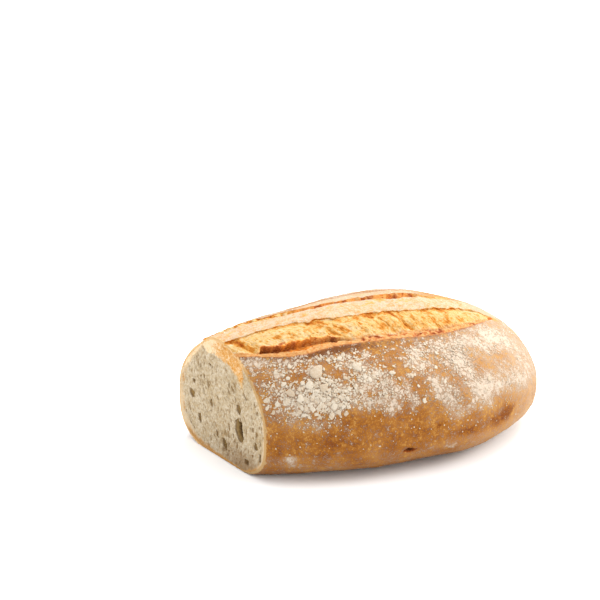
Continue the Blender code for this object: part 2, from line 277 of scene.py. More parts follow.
def grid_faces(rows, columns, wrap=False):
    """Quads between the points of a grid, numbered row by row; wrap joins the last column to the first."""
    i = np.arange(rows - 1)[:, None] * columns
    j = np.arange(columns if wrap else columns - 1)[None, :]
    k = (j + 1) % columns
    quads = np.stack([i + j, i + columns + j, i + columns + k, i + k], axis=-1)
    return quads.reshape(-1, 4)


def rows_between(marks):
    """Turn and lift of every row, from each mark to the next by its own number of rows and its own easing.

    A mark is a turn and a lift for each station, the rows to the next mark and a power that eases the lift.
    The third result counts marks along the rows, so 2.5 is halfway from the mark numbered 2 to the next.
    """
    turns, lifts, counts = [], [], []
    for number, (mark, following) in enumerate(zip(marks, marks[1:])):
        turn, lift, rows, ease = mark
        next_turn, next_lift, _, _ = following
        share = (np.arange(rows) / rows)[None, :]
        turns.append(turn[:, None] + (next_turn - turn)[:, None] * share)
        lifts.append(lift[:, None] + (next_lift - lift)[:, None] * share**ease)
        counts.append(number + share + 0 * turn[:, None])
    return np.hstack(turns), np.hstack(lifts), np.hstack(counts)


def stations_to_tip(count):
    """Stations from the cut to the tip, the sine of a bent ramp, so that they crowd at both ends."""
    t = np.linspace(0, 1, count + 1)[:-1]
    return LENGTH * np.sin(math.pi / 2 * t**1.15)


# The crust.

# Soft spots on the crust and on the torn crumb: station, turn, reach along, reach round, strength.
FLOUR_PATCHES = (
    (5, 121, 7, 5, 0.8), (18, 125, 8, 4, 0.45), (28, 127, 6, 3, 0.5), (37, 127, 4, 2.5, 0.7),
    (42, 130, 4, 3, 0.5), (15, 133, 7, 3, 0.6), (31, 136, 4, 4, 0.8), (54, 137, 4, 4, 0.7),
    (62, 134, 4, 4, 0.45), (49, 130, 4, 3, 0.4), (10, 145, 6, 5, 0.6), (25, 146, 8, 5, 0.7),
    (36, 148, 5, 6, 0.7), (20, 157, 14, 7, 1.0), (36, 159, 8, 6, 0.9), (12, 165, 6, 4, 0.6),
    (33, 165, 4, 4, 0.8), (20, 175, 8, 3, 0.45), (47, 154, 5, 5, 0.7), (55, 150, 6, 6, 0.6),
    (60, 144, 6, 5, 0.6), (52, 163, 5, 4, 0.7), (64, 160, 6, 7, 0.9), (68, 152, 4, 6, 0.7),
    (66, 168, 4, 4, 0.5), (77, 155, 3, 3, 0.6), (77, 163, 3.5, 8, 0.65), (82, 139, 2.5, 4, 0.5),
    (90, 141, 6, 6, 0.7), (87, 148, 4, 5, 0.5), (93, 160, 5, 7, 0.8), (100, 168, 5, 8, 0.6),
    (105, 180, 4, 6, 0.6), (97, 172, 5, 10, 0.45), (103, 137, 8, 4, 0.3), (117, 147, 5, 7, 0.4),
    (90, 133, 5, 4, 0.4), (106, 132, 6, 5, 0.35), (113, 140, 7, 6, 0.75), (111, 149, 5, 6, 0.8),
    (116, 153, 4, 5, 0.8), (121, 135, 5, 4, 0.7), (128, 131, 6, 4, 0.45), (134, 136, 4, 4, 0.65),
    (138, 143, 3, 3, 0.5), (122, 166, 6, 6, 1.0), (124, 173, 5, 6, 0.8), (130, 162, 4, 4, 0.8),
    (136, 167, 5, 5, 0.6), (128, 179, 4, 3, 0.4), (143, 133, 6, 6, 0.6), (152, 130, 8, 8, 0.7),
    (160, 135, 8, 6, 0.4), (148, 165, 10, 5, 0.5), (160, 168, 8, 6, 0.4), (170, 150, 8, 14, 0.35),
    (20, 171, 14, 3, 0.35), (30, 174, 9, 4, 0.3), (112, 176, 8, 6, 0.4), (117, 164, 12, 9, 0.22),
    (11, 205, 3, 4, 1.3), (102, 208.5, 3.2, 2.4, 1.6), (14, 212, 6, 3, 0.6),
)
GOLDEN_WINDOWS = (
    (22, 139, 6, 2.5, 0.6), (37, 136, 4, 4, 0.6), (5, 136, 4, 4, 0.3), (45, 140, 4, 3, 0.3),
    (70, 135, 5, 5, 0.3), (76, 146, 4, 5, 0.5), (72, 141, 4, 3, 0.3), (83, 162, 3, 6, 0.3),
    (86, 157, 3, 5, 0.3), (98, 148, 3, 6, 0.5), (101, 138, 3, 5, 0.4), (107, 158, 3, 4, 0.7),
    (112, 163, 3, 3, 0.5), (128, 150, 5, 5, 0.6), (137, 152, 5, 5, 0.5), (150, 148, 8, 6, 0.5),
    (115, 158, 2, 2, 0.4), (84, 170, 6, 3, 0.4), (110, 172, 3, 3, 0.3), (135, 175, 6, 4, 0.4),
    (45, 168, 8, 2.5, 0.5), (2, 160, 3, 5, 0.3),
)
BROWN_MARKS = (
    (143, 188, 6, 5, 1.0), (136, 194, 8, 5, 0.9), (92, 186, 4, 3, 0.7), (45, 172, 10, 5, 0.3),
    (60, 172, 8, 4, 0.3), (20, 184, 14, 5, 0.2), (80, 190, 12, 5, 0.25), (35, 190, 12, 4, 0.3),
    (110, 196, 10, 4, 0.5),
)
STRIP_MARKS = (
    (69.8, 93.7, 1.2, 1.2, 0.8), (63.5, 92, 0.6, 2, 0.5), (75, 96, 2, 2, 0.35), (94, 93.5, 3, 2, 0.6),
    (104, 97, 3, 1.5, 0.35), (106, 99.5, 8, 1.2, 0.35), (86, 95, 5, 3, 0.4), (47, 93.5, 0.8, 0.8, 0.5),
    (56, 94.3, 0.8, 0.8, 0.6), (8, 86, 3, 3, 0.4), (24, 84, 3, 2, 0.4), (117, 89.6, 7, 1.2, 0.6),
    (60, 82, 12, 1.6, 0.35),
)
BARE_GAPS = (
    (26, 154, 24, 13, 0.38),
)
# The crack: station, turn, half its length, half its width; and how deep it is.
CRACK, CRACK_DEPTH = (75.4, 204.9, 3.6, 2.3), 1.7

# Toasted places on the torn crumb, and burnt spots in the hollow and on the ledge.
TOASTED_MARKS = (
    (1.5, 97, 2.5, 2.5, 0.7), (6, 98, 2, 3, 0.9), (5.5, 103, 1.8, 3, 0.8), (9, 109, 1.2, 3.5, 0.55),
    (24, 105.5, 1.5, 1.6, 0.7), (28.5, 104, 0.9, 1, 0.8), (29, 95.5, 2, 1.2, 0.5), (21, 96, 2, 2, 0.35),
    (41, 105.5, 2, 3, 0.35), (31, 107, 2, 4, 0.3), (46, 106, 2, 3, 0.3), (39, 97.5, 2, 1.2, 0.4),
    (47.5, 99.5, 2, 1.6, 0.9), (51, 98.7, 3, 1, 0.6), (56, 99.5, 3.5, 1, 0.5), (51.3, 102.5, 1.2, 2, 0.9),
    (53, 105.5, 0.9, 2, 0.8), (56.5, 108.5, 1.3, 2, 0.9), (58.5, 111.5, 1.5, 2, 0.9),
    (60.5, 114, 1.2, 1.5, 0.7), (61, 105, 2, 1.5, 0.5), (66, 101.8, 4, 0.8, 0.5),
    (71.8, 105.5, 1.2, 2, 0.6), (70, 111, 1, 1, 0.6), (79, 104.5, 3, 2, 0.85), (80, 106.5, 1.5, 1.2, 0.8),
    (82, 103.5, 1.5, 1.2, 0.6), (84.5, 109, 2, 2, 0.3), (82, 115, 3, 2.5, 0.4),
    (88.5, 103.5, 1.5, 1.2, 0.5), (92, 104.7, 1.5, 1.8, 1.0), (92.8, 108, 1, 2.5, 0.9),
    (93.3, 112, 0.8, 2, 0.7), (96.5, 108, 0.8, 5, 0.4), (95, 117.5, 2.5, 2.5, 0.5),
    (97, 120, 1.5, 1, 0.5), (100, 105, 1.2, 1.2, 0.6), (104, 105.5, 2, 0.8, 0.4), (102, 111, 1, 5, 0.3),
    (107, 114.5, 1, 1.2, 0.5), (112, 107.5, 3, 1.4, 0.4), (115.5, 111.5, 1, 1.2, 0.5),
    (119, 106.5, 5, 0.9, 0.4), (124, 109.5, 2, 2, 0.6), (125, 112, 1.2, 1, 0.6),
    (131, 107.5, 4, 0.9, 0.6), (134, 107, 1.4, 1, 0.8), (122.5, 116, 1.2, 2.5, 0.45),
    (122, 119.5, 2.2, 1.2, 0.6), (133, 118, 2, 2, 0.35), (88, 117, 1.5, 1.2, 0.4),
    (112.5, 116, 3, 3, 0.3), (151, 116, 1, 1.2, 0.7), (148, 105, 5, 1.5, 0.35), (156.5, 104.5, 2, 1, 0.4),
    (160.5, 111.5, 2.2, 1.8, 0.9), (163.5, 109, 2, 1.6, 0.8),
)
BURNT_MARKS = (
    (15.5, 112, 2.2, 2.4, 0.9), (18, 115, 3, 2, 0.7), (23, 112.5, 3, 1.5, 0.6), (26, 115, 1.3, 1.6, 0.7),
    (31, 118, 1.6, 0.9, 0.8), (29, 114.5, 2, 1.5, 0.5), (37, 118.5, 0.9, 0.8, 0.6),
    (35, 114, 2.5, 1.3, 0.4), (50.5, 117.6, 1.8, 1.8, 1.1), (44, 116, 1.2, 1, 0.3),
    (66, 121.5, 1.2, 1, 0.7), (69, 123, 0.8, 0.8, 0.9), (73, 121.3, 1.2, 0.8, 0.8),
    (75.5, 122, 1.5, 1, 0.6), (71, 120.5, 2, 0.7, 0.5), (83, 121.3, 2, 0.8, 0.6),
    (86, 121.8, 1, 0.8, 0.5), (90, 123, 1.5, 1, 0.5), (97.5, 125, 2, 1, 0.8),
    (100.5, 124.3, 0.8, 0.8, 0.7), (107, 123.5, 1.5, 0.8, 0.95), (111, 124.5, 3, 0.9, 0.85),
    (114.5, 123, 1, 1, 0.9), (109, 126.2, 2.5, 0.5, 0.7), (139, 120.7, 2, 0.8, 0.6),
    (142, 121.5, 2, 0.8, 0.5), (128, 124.3, 1, 0.8, 0.5), (135, 120.7, 2, 0.8, 0.35),
    (119, 121, 2, 1, 0.35),
)
NARROW_MARKS = (
    (53, 87, 3, 2, 0.5), (61.5, 87, 2, 2.5, 0.9), (72, 87, 3, 2, 0.4), (79, 87, 2, 1.5, 0.8),
    (88, 88, 4, 2, 0.4), (92.5, 87.5, 2, 2, 0.8), (99, 90, 2, 1.5, 0.6), (102, 94, 2, 2, 0.5),
    (107, 92.5, 2, 2, 0.9), (116, 93.5, 3, 2, 0.8), (112, 92, 2, 2, 0.4),
)

# How far the strip's front edge strays from the slash's own edge: station, degrees.
STRIP_SHIFTS = np.array([
    (0, 0.8), (20, 0.8), (30, 0.3), (38, -0.7), (44, 1.1), (52, 0.0), (58, 1.6), (70, 1.3), (80, -0.2),
    (86, 0.0), (94, -0.6), (100, 0.6), (110, 0.3), (120, -0.4), (130, 0.3), (137, -0.4), (165, 0.0),
    (198, 0.0),
])

# The same for its back edge.
BACK_SHIFTS = np.array([
    (0, 0.0), (40, -0.5), (52, -1.5), (60, -1.5), (66, -2.9), (75, -2.7), (82, -2.0), (90, -1.0),
    (95, -1.4), (99, 0.5), (105, 0.4), (112, -0.7), (120, -1.0), (135, 0.0), (198, 0.0),
])

# How ragged each edge is, coarsely and finely: size of the noise, its seed, and its share in degrees.
EDGE_NOISE = {
    "lip": ((2.3, 31, 0.25), (0.9, 32, 0.12)),
    "front": ((3.1, 33, 0.55), (1.1, 34, 0.25)),
    "back": ((3.7, 35, 0.60), (1.2, 36, 0.25)),
    "ridge": ((2.9, 37, 0.50), (1.0, 38, 0.10)),
}

CRUST_RINGS = 340
# The numbers of some marks of the crust: its four edges, the end of the valley, and the end of the furrow.
LIP_MARK, FRONT_MARK, BACK_MARK, RIDGE_MARK = 4, 11, 12, 17
VALLEY_END_MARK, FURROW_END_MARK = 8, 15

# Where the crust's looks fade in or out: the first and last station, or turn, of each fade.
FLOURED_FOOT, FOOT_DROP, FOOT_DROPS_AT = (178, 161), 9, (95, 125)
FLOURED_TOP = (100, 118)
CHUNKS_END, WELL_DUSTED_FROM = (138, 112), (80, 100)
HAZE_GROWS, HAZY_END, HAZY_FOOT = (85, 130), (140, 172), (198, 206)
FAR_FLANK, FAR_TIP, FAR_TIP_TURN = (86, 76), (136, 164), (122, 100)
FAR_FLOUR_THINS, UNDERSIDE_BARE, FAR_HAZE_THINS = (60, 0), (0, -40), (40, -30)
BESIDE_LIP, DUSTY_LIP, BARE_LIP = (9, 3), (34, 18), (70, 50)
STRIP_END, BROW_FROM, BROW_RUN, BROW_DROPS_AT = (178, 158), (46, 58), (13, 7), (42, 58)
BAKE_PALES, BAKED_UNDER = (95, 160), (0.6, -0.4)
SPECKS_THIN, SPECKS_GROW = (45, 85), (16, 34)
MARKS_STRONGER, SCORCH_END = (150, 156), (176, 162)
FURROW_SCORCH_END, WALL_SCORCH_END = (148, 130), (150, 135)
# Turns between which the rim at the cut gets a painted highlight: over the top and back, not at the front
# or underneath.
RIM_HIGHLIGHT_FRONT, RIM_HIGHLIGHT_BACK = (128, 121), (-80, -60)


def patches(table, x, turn):
    """The sum of soft spots: each its strength times a bell along and a bell round."""
    return sum(
        strength * bell(x, station, along) * bell(turn, angle, around)
        for station, angle, along, around, strength in table
    )


def ragged_edge(name, x):
    """Coarse and fine noise for an edge, in degrees."""
    return sum(share * noise(line_of(x), size, seed) for size, seed, share in EDGE_NOISE[name])


def slash_edges(x):
    """The turns of the four ragged edges: the lip, the front and the back of the strip, and the ridge."""
    wide, wide_open, _ = slash_at(WIDE_SLASH, x)
    narrow, narrow_open, _ = slash_at(NARROW_SLASH, x)
    return (
        wide + wide_open + ragged_edge("lip", x),
        wide - wide_open + np.interp(x, *STRIP_SHIFTS.T) + ragged_edge("front", x),
        narrow + narrow_open + np.interp(x, *BACK_SHIFTS.T) + ragged_edge("back", x),
        narrow - narrow_open + ragged_edge("ridge", x),
    )


def crust_marks(x):
    """The lines that run along the crust, from underneath over the front to the back."""
    _, _, wide_there = slash_at(WIDE_SLASH, x)
    _, _, narrow_there = slash_at(NARROW_SLASH, x)
    uneven = noise(line_of(x), 2.7, 39)
    still = 0 * x
    lip, front, back, ridge = slash_edges(x)
    valley = -(WIDE_VALLEY + HOLLOW_VALLEY * deepness(x)) * wide_there
    furrow = -NARROW_VALLEY * narrow_there * (0.35 + 0.65 * ramp(0, 5, x))
    lip_rise = LIP_RISE + 0.15 * uneven
    strip_rise = STRIP_RISE + 0.2 * uneven
    ridge_rise = (RIDGE_LIP_RISE + 0.3 * uneven) * narrow_there
    return (
        # turn, lift, rows to the next mark, easing
        (270 + still, still, 10, 1),
        (215 + still, still, 42, 1),
        (180 + still, still, 78, 1),
        (lip + 7, still, 12, 2.2),
        (lip, lip_rise * wide_there, 1, 1),
        (lip - 0.35, (lip_rise - 0.25) * wide_there, 1, 1),
        (lip - 0.55, (lip_rise - 0.9) * wide_there, 1, 1),
        (lip - 0.6, valley, 4, 1),
        (front + 0.9, valley, 1, 1),
        (front + 0.8, (strip_rise - 1.0) * wide_there, 1, 1),
        (front + 0.5, (strip_rise - 0.35) * wide_there, 1, 1),
        (front, strip_rise * wide_there, 20, 1),
        (back, STRIP_RISE * narrow_there, 1, 1),
        (back - 0.35, (STRIP_RISE - 0.5) * narrow_there, 1, 1),
        (back - 0.6, furrow, 2, 1),
        (ridge + 0.6, furrow, 1, 1),
        (ridge + 0.35, ridge_rise - 0.6 * narrow_there, 1, 1),
        (ridge, ridge_rise, 8, 0.5),
        (ridge - 9, -BROW_SAG * narrow_there, 42, 1),
        (still, still, 24, 1),
        (-90 + still, still, 0, 1),
    )


def skin_grid():
    """The crust's stations and turns, and what its looks follow: edges, slashes and the floured flank."""
    x = stations_to_tip(CRUST_RINGS)
    turn, lift, count = rows_between(crust_marks(x))
    station = np.broadcast_to(x[:, None], turn.shape)
    base = loaf_point(station, turn, 0)
    lip, front, back, ridge = (edge[:, None] for edge in slash_edges(x))
    _, _, there = slash_at(WIDE_SLASH, station)
    _, _, narrow_there = slash_at(NARROW_SLASH, station)
    warp = (station + 1.6 * noise(base, 5, 7), turn + 1.6 * noise(base, 4, 8))
    foot = FLOURED_FOOT[0] + FOOT_DROP * ramp(*FOOT_DROPS_AT, station)
    return SimpleNamespace(
        station=station, turn=turn, lift=lift, count=count, base=base, warp=warp,
        lip=lip, front=front, back=back, ridge=ridge, there=there, narrow_there=narrow_there,
        in_slash=(count > LIP_MARK) & (count < FRONT_MARK) | (count > BACK_MARK) & (count < RIDGE_MARK),
        upper=ramp(foot, FLOURED_FOOT[1], turn) * ramp(*FLOURED_TOP, turn),
        browned=patches(BROWN_MARKS, *warp),
    )


def cream_strip(skin):
    """1 on the strip between the slashes, and 0.8 on the brow behind the ridge, with a ragged far edge."""
    turn, station = skin.turn, skin.station
    strip = ramp(skin.front + 1.0, skin.front + 0.4, turn) * ramp(skin.back - 0.5, skin.back + 0.3, turn)
    strip = strip * np.maximum(skin.there, 0.6 * ramp(*STRIP_END, station))
    ragged = turn + 2.5 * noise(skin.base, 5, 127) + 1.2 * noise(skin.base, 1.8, 128)
    brow = ramp(skin.ridge - BROW_RUN[0], skin.ridge - BROW_RUN[1], ragged) * (turn < skin.ridge + 0.2)
    return np.maximum(strip, 0.8 * brow * skin.narrow_there * ramp(*BROW_FROM, station))


def ridge_bake(skin):
    """A browned line along the ridge, a bell that steps back behind the cream brow."""
    line = skin.ridge - 0.5 - 12 * ramp(*BROW_DROPS_AT, skin.station)
    return bell(skin.turn, line, 3.5) * skin.narrow_there


def flour_and_haze(skin, strip, baked_ridge):
    """How thick flour lies, from below 0 where it is bare to 1, and how much thin film lies under it.

    Both are sums of fades over the flank and of patches; the far flank and the tip get their own values.
    """
    station, turn = skin.station, skin.turn
    upper, lip = skin.upper, skin.lip
    spots = np.clip(patches(FLOUR_PATCHES, *skin.warp), 0, 1)
    dusted = 0.12 * upper * ramp(*WELL_DUSTED_FROM, station)
    beside_lip = ramp(lip + BESIDE_LIP[0], lip + BESIDE_LIP[1], turn) * (turn > lip)
    flour = -0.10 + 0.42 * upper + 0.75 * spots - 0.55 * patches(GOLDEN_WINDOWS, *skin.warp)
    flour = flour + beside_lip * (0.26 * ramp(*DUSTY_LIP, station) - 0.12 * ramp(*BARE_LIP, station))
    flour = flour + dusted - patches(BARE_GAPS, station, turn)
    haze = 0.10 + 0.30 * upper + 0.22 * ramp(*HAZE_GROWS, station) + 0.60 * ramp(*HAZY_END, station)
    haze = haze + 0.25 * ramp(*HAZY_FOOT, turn) + 0.25 * spots - 0.45 * skin.browned + dusted
    far = np.maximum(ramp(*FAR_FLANK, turn), ramp(*FAR_TIP, station) * ramp(*FAR_TIP_TURN, turn))
    top_flour = 0.50 - 0.25 * ramp(*FAR_FLOUR_THINS, turn) - 0.35 * ramp(*UNDERSIDE_BARE, turn)
    top_flour = top_flour + 0.28 * noise(skin.base, 20, 129)
    flour = flour + (top_flour - flour) * far
    haze = haze + (0.55 - 0.4 * ramp(*FAR_HAZE_THINS, turn) - haze) * far
    flour = flour + (0.95 - flour) * strip
    return flour - 0.45 * baked_ridge * (turn < skin.ridge), haze


def bake_level(skin, baked_ridge):
    """How brown the crust is: more on the floured flank and underneath, less towards the round end."""
    under = ramp(*BAKED_UNDER, np.sin(np.radians(skin.turn)))
    level = 0.50 + 0.22 * skin.upper + 0.30 * under - 0.30 * ramp(*BAKE_PALES, skin.station)
    return level + 0.6 * skin.browned + 0.45 * baked_ridge


def lip_specks(skin):
    """Singed specks beside the lip, fading down the flank as half a bell."""
    below = skin.turn - skin.lip
    beside = bell(np.clip(below, 0, None), 0, 6.5) * (below > -0.5) * skin.there
    along = (1 - 0.75 * ramp(*SPECKS_THIN, skin.station)) * (0.55 + 0.45 * ramp(*SPECKS_GROW, skin.station))
    return beside * along


def scorch_level(skin):
    """How toasted the walls of the slashes are: noise, more in the narrow one, less at its ridge."""
    station, count, base = skin.station, skin.count, skin.base
    front_wall = 0.52 + 0.25 * noise(base, 3.5, 121) + 0.15 * noise(base, 1.4, 122)
    back_wall = 0.72 + 0.25 * noise(base, 2.0, 123) - 0.20 * (count > FURROW_END_MARK)
    marked = (0.6 + 0.5 * ramp(*MARKS_STRONGER, station)) * patches(TOASTED_MARKS, *skin.warp)
    under_strip = (count >= VALLEY_END_MARK) & (count < FRONT_MARK)
    level = np.where(count > BACK_MARK, back_wall, front_wall) + marked
    level = level + 0.30 * under_strip * ramp(*WALL_SCORCH_END, station)
    ends = np.where(count > BACK_MARK, ramp(*FURROW_SCORCH_END, station), ramp(*SCORCH_END, station))
    return level * ends


def crack_share(skin):
    """A ragged ellipse on the flank: the root of 1 less its squared radius, its place moved by noise."""
    s0, t0, half_long, half_wide = CRACK
    along = (skin.station - s0 + 0.9 * noise(skin.base, 1.5, 131)) / half_long
    around = (skin.turn - t0 + 0.8 * noise(skin.base, 1.3, 132)) / half_wide
    return np.clip(1 - along**2 - around**2, 0, 1) ** 0.5


def closed_skin(points, turn, lift, in_slash):
    """Points and faces of the skin, with three rings before the cut that fold in, and both ends closed.

    The rings follow the cut's own profile, where the slashes are filled with torn crumb.
    """
    rows = points.shape[1]
    at_cut = np.zeros((1, rows))
    cut_turn = turn[:1]
    cut_lift = np.where(in_slash[:1], cut_profile(cut_turn), lift[:1])
    socket = loaf_point(at_cut + SOCKET_DEPTH, cut_turn, np.minimum(cut_lift, lift[:1]) - 3.0)
    inner = loaf_point(at_cut, cut_turn, cut_lift - 1.3)
    rim = loaf_point(at_cut, cut_turn, cut_lift - 0.35)
    points[0] = loaf_point(at_cut[0] + 0.35, turn[0], lift[0])
    grid = np.concatenate([socket, inner, rim, points])
    heart_y, heart_z = middle_line(0.0), BELLY_SHARE * top_line(0.0)
    ends = np.array([
        (SOCKET_DEPTH + KNIFE_SKEW * heart_y, heart_y, heart_z),
        (LENGTH, TIP_BEND, TIP_HEIGHT),
    ])
    flat = np.concatenate([grid.reshape(-1, 3), ends])
    j = np.arange(rows)
    k = (j + 1) % rows
    first, last = len(flat) - 2, len(flat) - 1
    top = (len(grid) - 1) * rows
    faces = [tuple(quad) for quad in grid_faces(len(grid), rows, wrap=True)]
    faces += [(first, a, b) for a, b in zip(j, k)]
    faces += [(last, top + b, top + a) for a, b in zip(j, k)]
    return flat, faces


def build_crust():
    """The loaf's skin, a grid of stations and turns that folds in at the cut, round a socket."""
    skin = skin_grid()
    station, turn, base = skin.station, skin.turn, skin.base
    strip = cream_strip(skin)
    baked_ridge = ridge_bake(skin)
    flour, haze = flour_and_haze(skin, strip, baked_ridge)
    crack = crack_share(skin)
    relief = 0.22 * rough(base, 9, 3, 5) + 0.10 * rough(base, 2.2, 2, 9)
    relief = relief + 0.22 * np.clip(flour, 0, 1) * rough(base, 3.0, 2, 15)
    lift = skin.lift + plates(station, turn) + unevenness(station, turn)
    lift = lift + relief * ramp(0, 3, station) - CRACK_DEPTH * crack
    points = loaf_point(station, turn, lift)
    flat, faces = closed_skin(points, turn, lift, skin.in_slash)
    rows = points.shape[1]

    def spread(values, cut_value=0.0):
        """The grid's values, with the cut's value on the three rings before it and a mean at each end."""
        table = np.concatenate([np.full((3, rows), cut_value), values])
        return np.concatenate([table.ravel(), [np.mean(cut_value), values[-1].mean()]])

    toasted_strip = patches(STRIP_MARKS, *skin.warp) * strip
    # Painted highlight on the rim at the cut, over its top and back.
    band = ramp(*RIM_HIGHLIGHT_FRONT, turn) * ramp(*RIM_HIGHLIGHT_BACK, turn)
    rim = 1 - ramp(0.0, RIM, station + 0.5 * noise(base, 1.5, 125))
    attributes = {
        "flour": spread(flour),
        "haze": spread(haze),
        "bake": spread(bake_level(skin, baked_ridge)),
        "specks": spread(lip_specks(skin)),
        "torn": spread(np.where(skin.in_slash, scorch_level(skin), toasted_strip)),
        "strip": spread(strip),
        "lip": spread(bell(turn, skin.lip, 0.8) * skin.there),
        "crack": spread(crack),
        "rim": spread(rim, 1.0),
        "chunks": spread(skin.upper * ramp(*CHUNKS_END, station)),
        "band": spread(band, band[0]),
    }
    return piece("crust", flat, faces, attributes)


# The torn crumb in the slashes.

# Both tears start just inside the cut and end where their slashes have closed.
TEAR_FROM, WIDE_TEAR_TO, NARROW_TEAR_TO = 0.06, 166, 135
WIDE_TEAR_RINGS, NARROW_TEAR_RINGS = 480, 340
# The numbers of the wide tear's marks where the ledge ends, and where the plates start and end.
LEDGE_MARK, PLATE_MARK, PLATE_END_MARK = 2, 4, 7
# Stations between which the plates are toasted more, the hollow pales and the ledge has burnt crags.
TOASTIER, TOASTY_END, HOLLOW_PALES, CRAGGY_FROM = (56, 70), (152, 134), (28, 48), (60, 70)
# Between these stations the narrow tear turns from pale to toasted.
NARROW_TOASTED = (40, 56)


def strip_piece(name, points, attributes):
    """A closed strip: the grid above, one row of quads from edge to edge below, and a cap at each end."""
    rows, columns = points.shape[:2]
    faces = [tuple(quad) for quad in grid_faces(rows, columns)]
    i = np.arange(rows - 1) * columns
    under = np.stack([i, i + columns - 1, i + 2 * columns - 1, i + columns], axis=-1)
    faces += [tuple(quad) for quad in under]
    faces.append(tuple(range(columns - 1, -1, -1)))
    faces.append(tuple(range((rows - 1) * columns, rows * columns)))
    return piece(name, points.reshape(-1, 3), faces, attributes)


def strand_line(x, across):
    """The station where the strand through a point starts at the strip, carried between plate edges."""
    edges = edge_stations(across)
    starts = [strip_end for strip_end, _ in PLATE_EDGES]
    steps = [
        (after - before) * np.clip((x - e) / (f - e), 0, 1)
        for before, after, e, f in zip(starts, starts[1:], edges, edges[1:])
    ]
    return starts[0] + sum(steps)


def tear_grid(x, knots, marks):
    """The rows between a tear's marks, and how each point lies in its slash.

    Across is -1 at one side of the slash and 1 at the other, arc is the same in degrees, and strength is a
    swell between the sides.
    """
    turn, lift, count = rows_between(marks)
    station = np.broadcast_to(x[:, None], turn.shape)
    middle, opening, there = (values[:, None] for values in slash_at(knots, x))
    across = (turn - middle) / opening
    strength = swell(across, 2) * there
    return station, turn, lift, count, across, across * opening, strength


def wide_tear_marks(x):
    """The lines that run along the wide tear, from its skirt under the lip to its skirt under the strip."""
    _, opening, there = slash_at(WIDE_SLASH, x)
    deep = deepness(x)
    lip, front, _, _ = slash_edges(x)
    along = line_of(x)
    wider = LEDGE_WIDENS * ramp(*LEDGE_WIDENS_AT, x)
    ragged = wider + 0.05 * noise(along, 3.4, 41) + 0.03 * noise(along, 1.3, 42)
    jag = 0.45 * noise(along, 2.1, 43) + 0.3 * noise(along, 0.8, 44)
    ledge_to = LEDGE_TO + wider + 0.07 * noise(along, 4.5, 87) + 0.04 * noise(along, 1.6, 88)
    floor_at = FLOOR_AT[0] + FLOOR_AT[1] * deep + ragged
    plate_at = PLATE_AT[0] + PLATE_AT[1] * deep + ragged
    floor_lift = -(GROOVE_DEPTH + HOLLOW_DEPTH * deep)
    plate_lift = PLATE_RISE * deep - 0.4 + jag * (0.4 + deep)
    sunk = 0.8 * (1 - there)
    skirt = (-2.4 - 4.5 * deep) * there - sunk
    return (
        # turn, lift, rows to the next mark, easing
        (lip - 0.05, skirt, 3, 1),
        (lip - 0.12, LEDGE_RISE * there - sunk, 14, 1),
        (lip - ledge_to * opening, LEDGE_RISE * there - sunk, 12, 0.8),
        (lip - floor_at * opening, floor_lift * there - sunk, 12, 1),
        (lip - plate_at * opening, plate_lift * there - sunk, 46, 0.8),
        (lip - 1.2 * opening, TORN_CREST * there - sunk, 40, 1.4),
        (front + 0.14 * opening, -0.35 * TORN_SAG * there - sunk, 6, 1),
        (front + 0.45, 0.15 * there - sunk, 3, 1),
        (front + 0.05, skirt, 1, 1),
        (front, skirt - 0.2, 0, 1),
    )


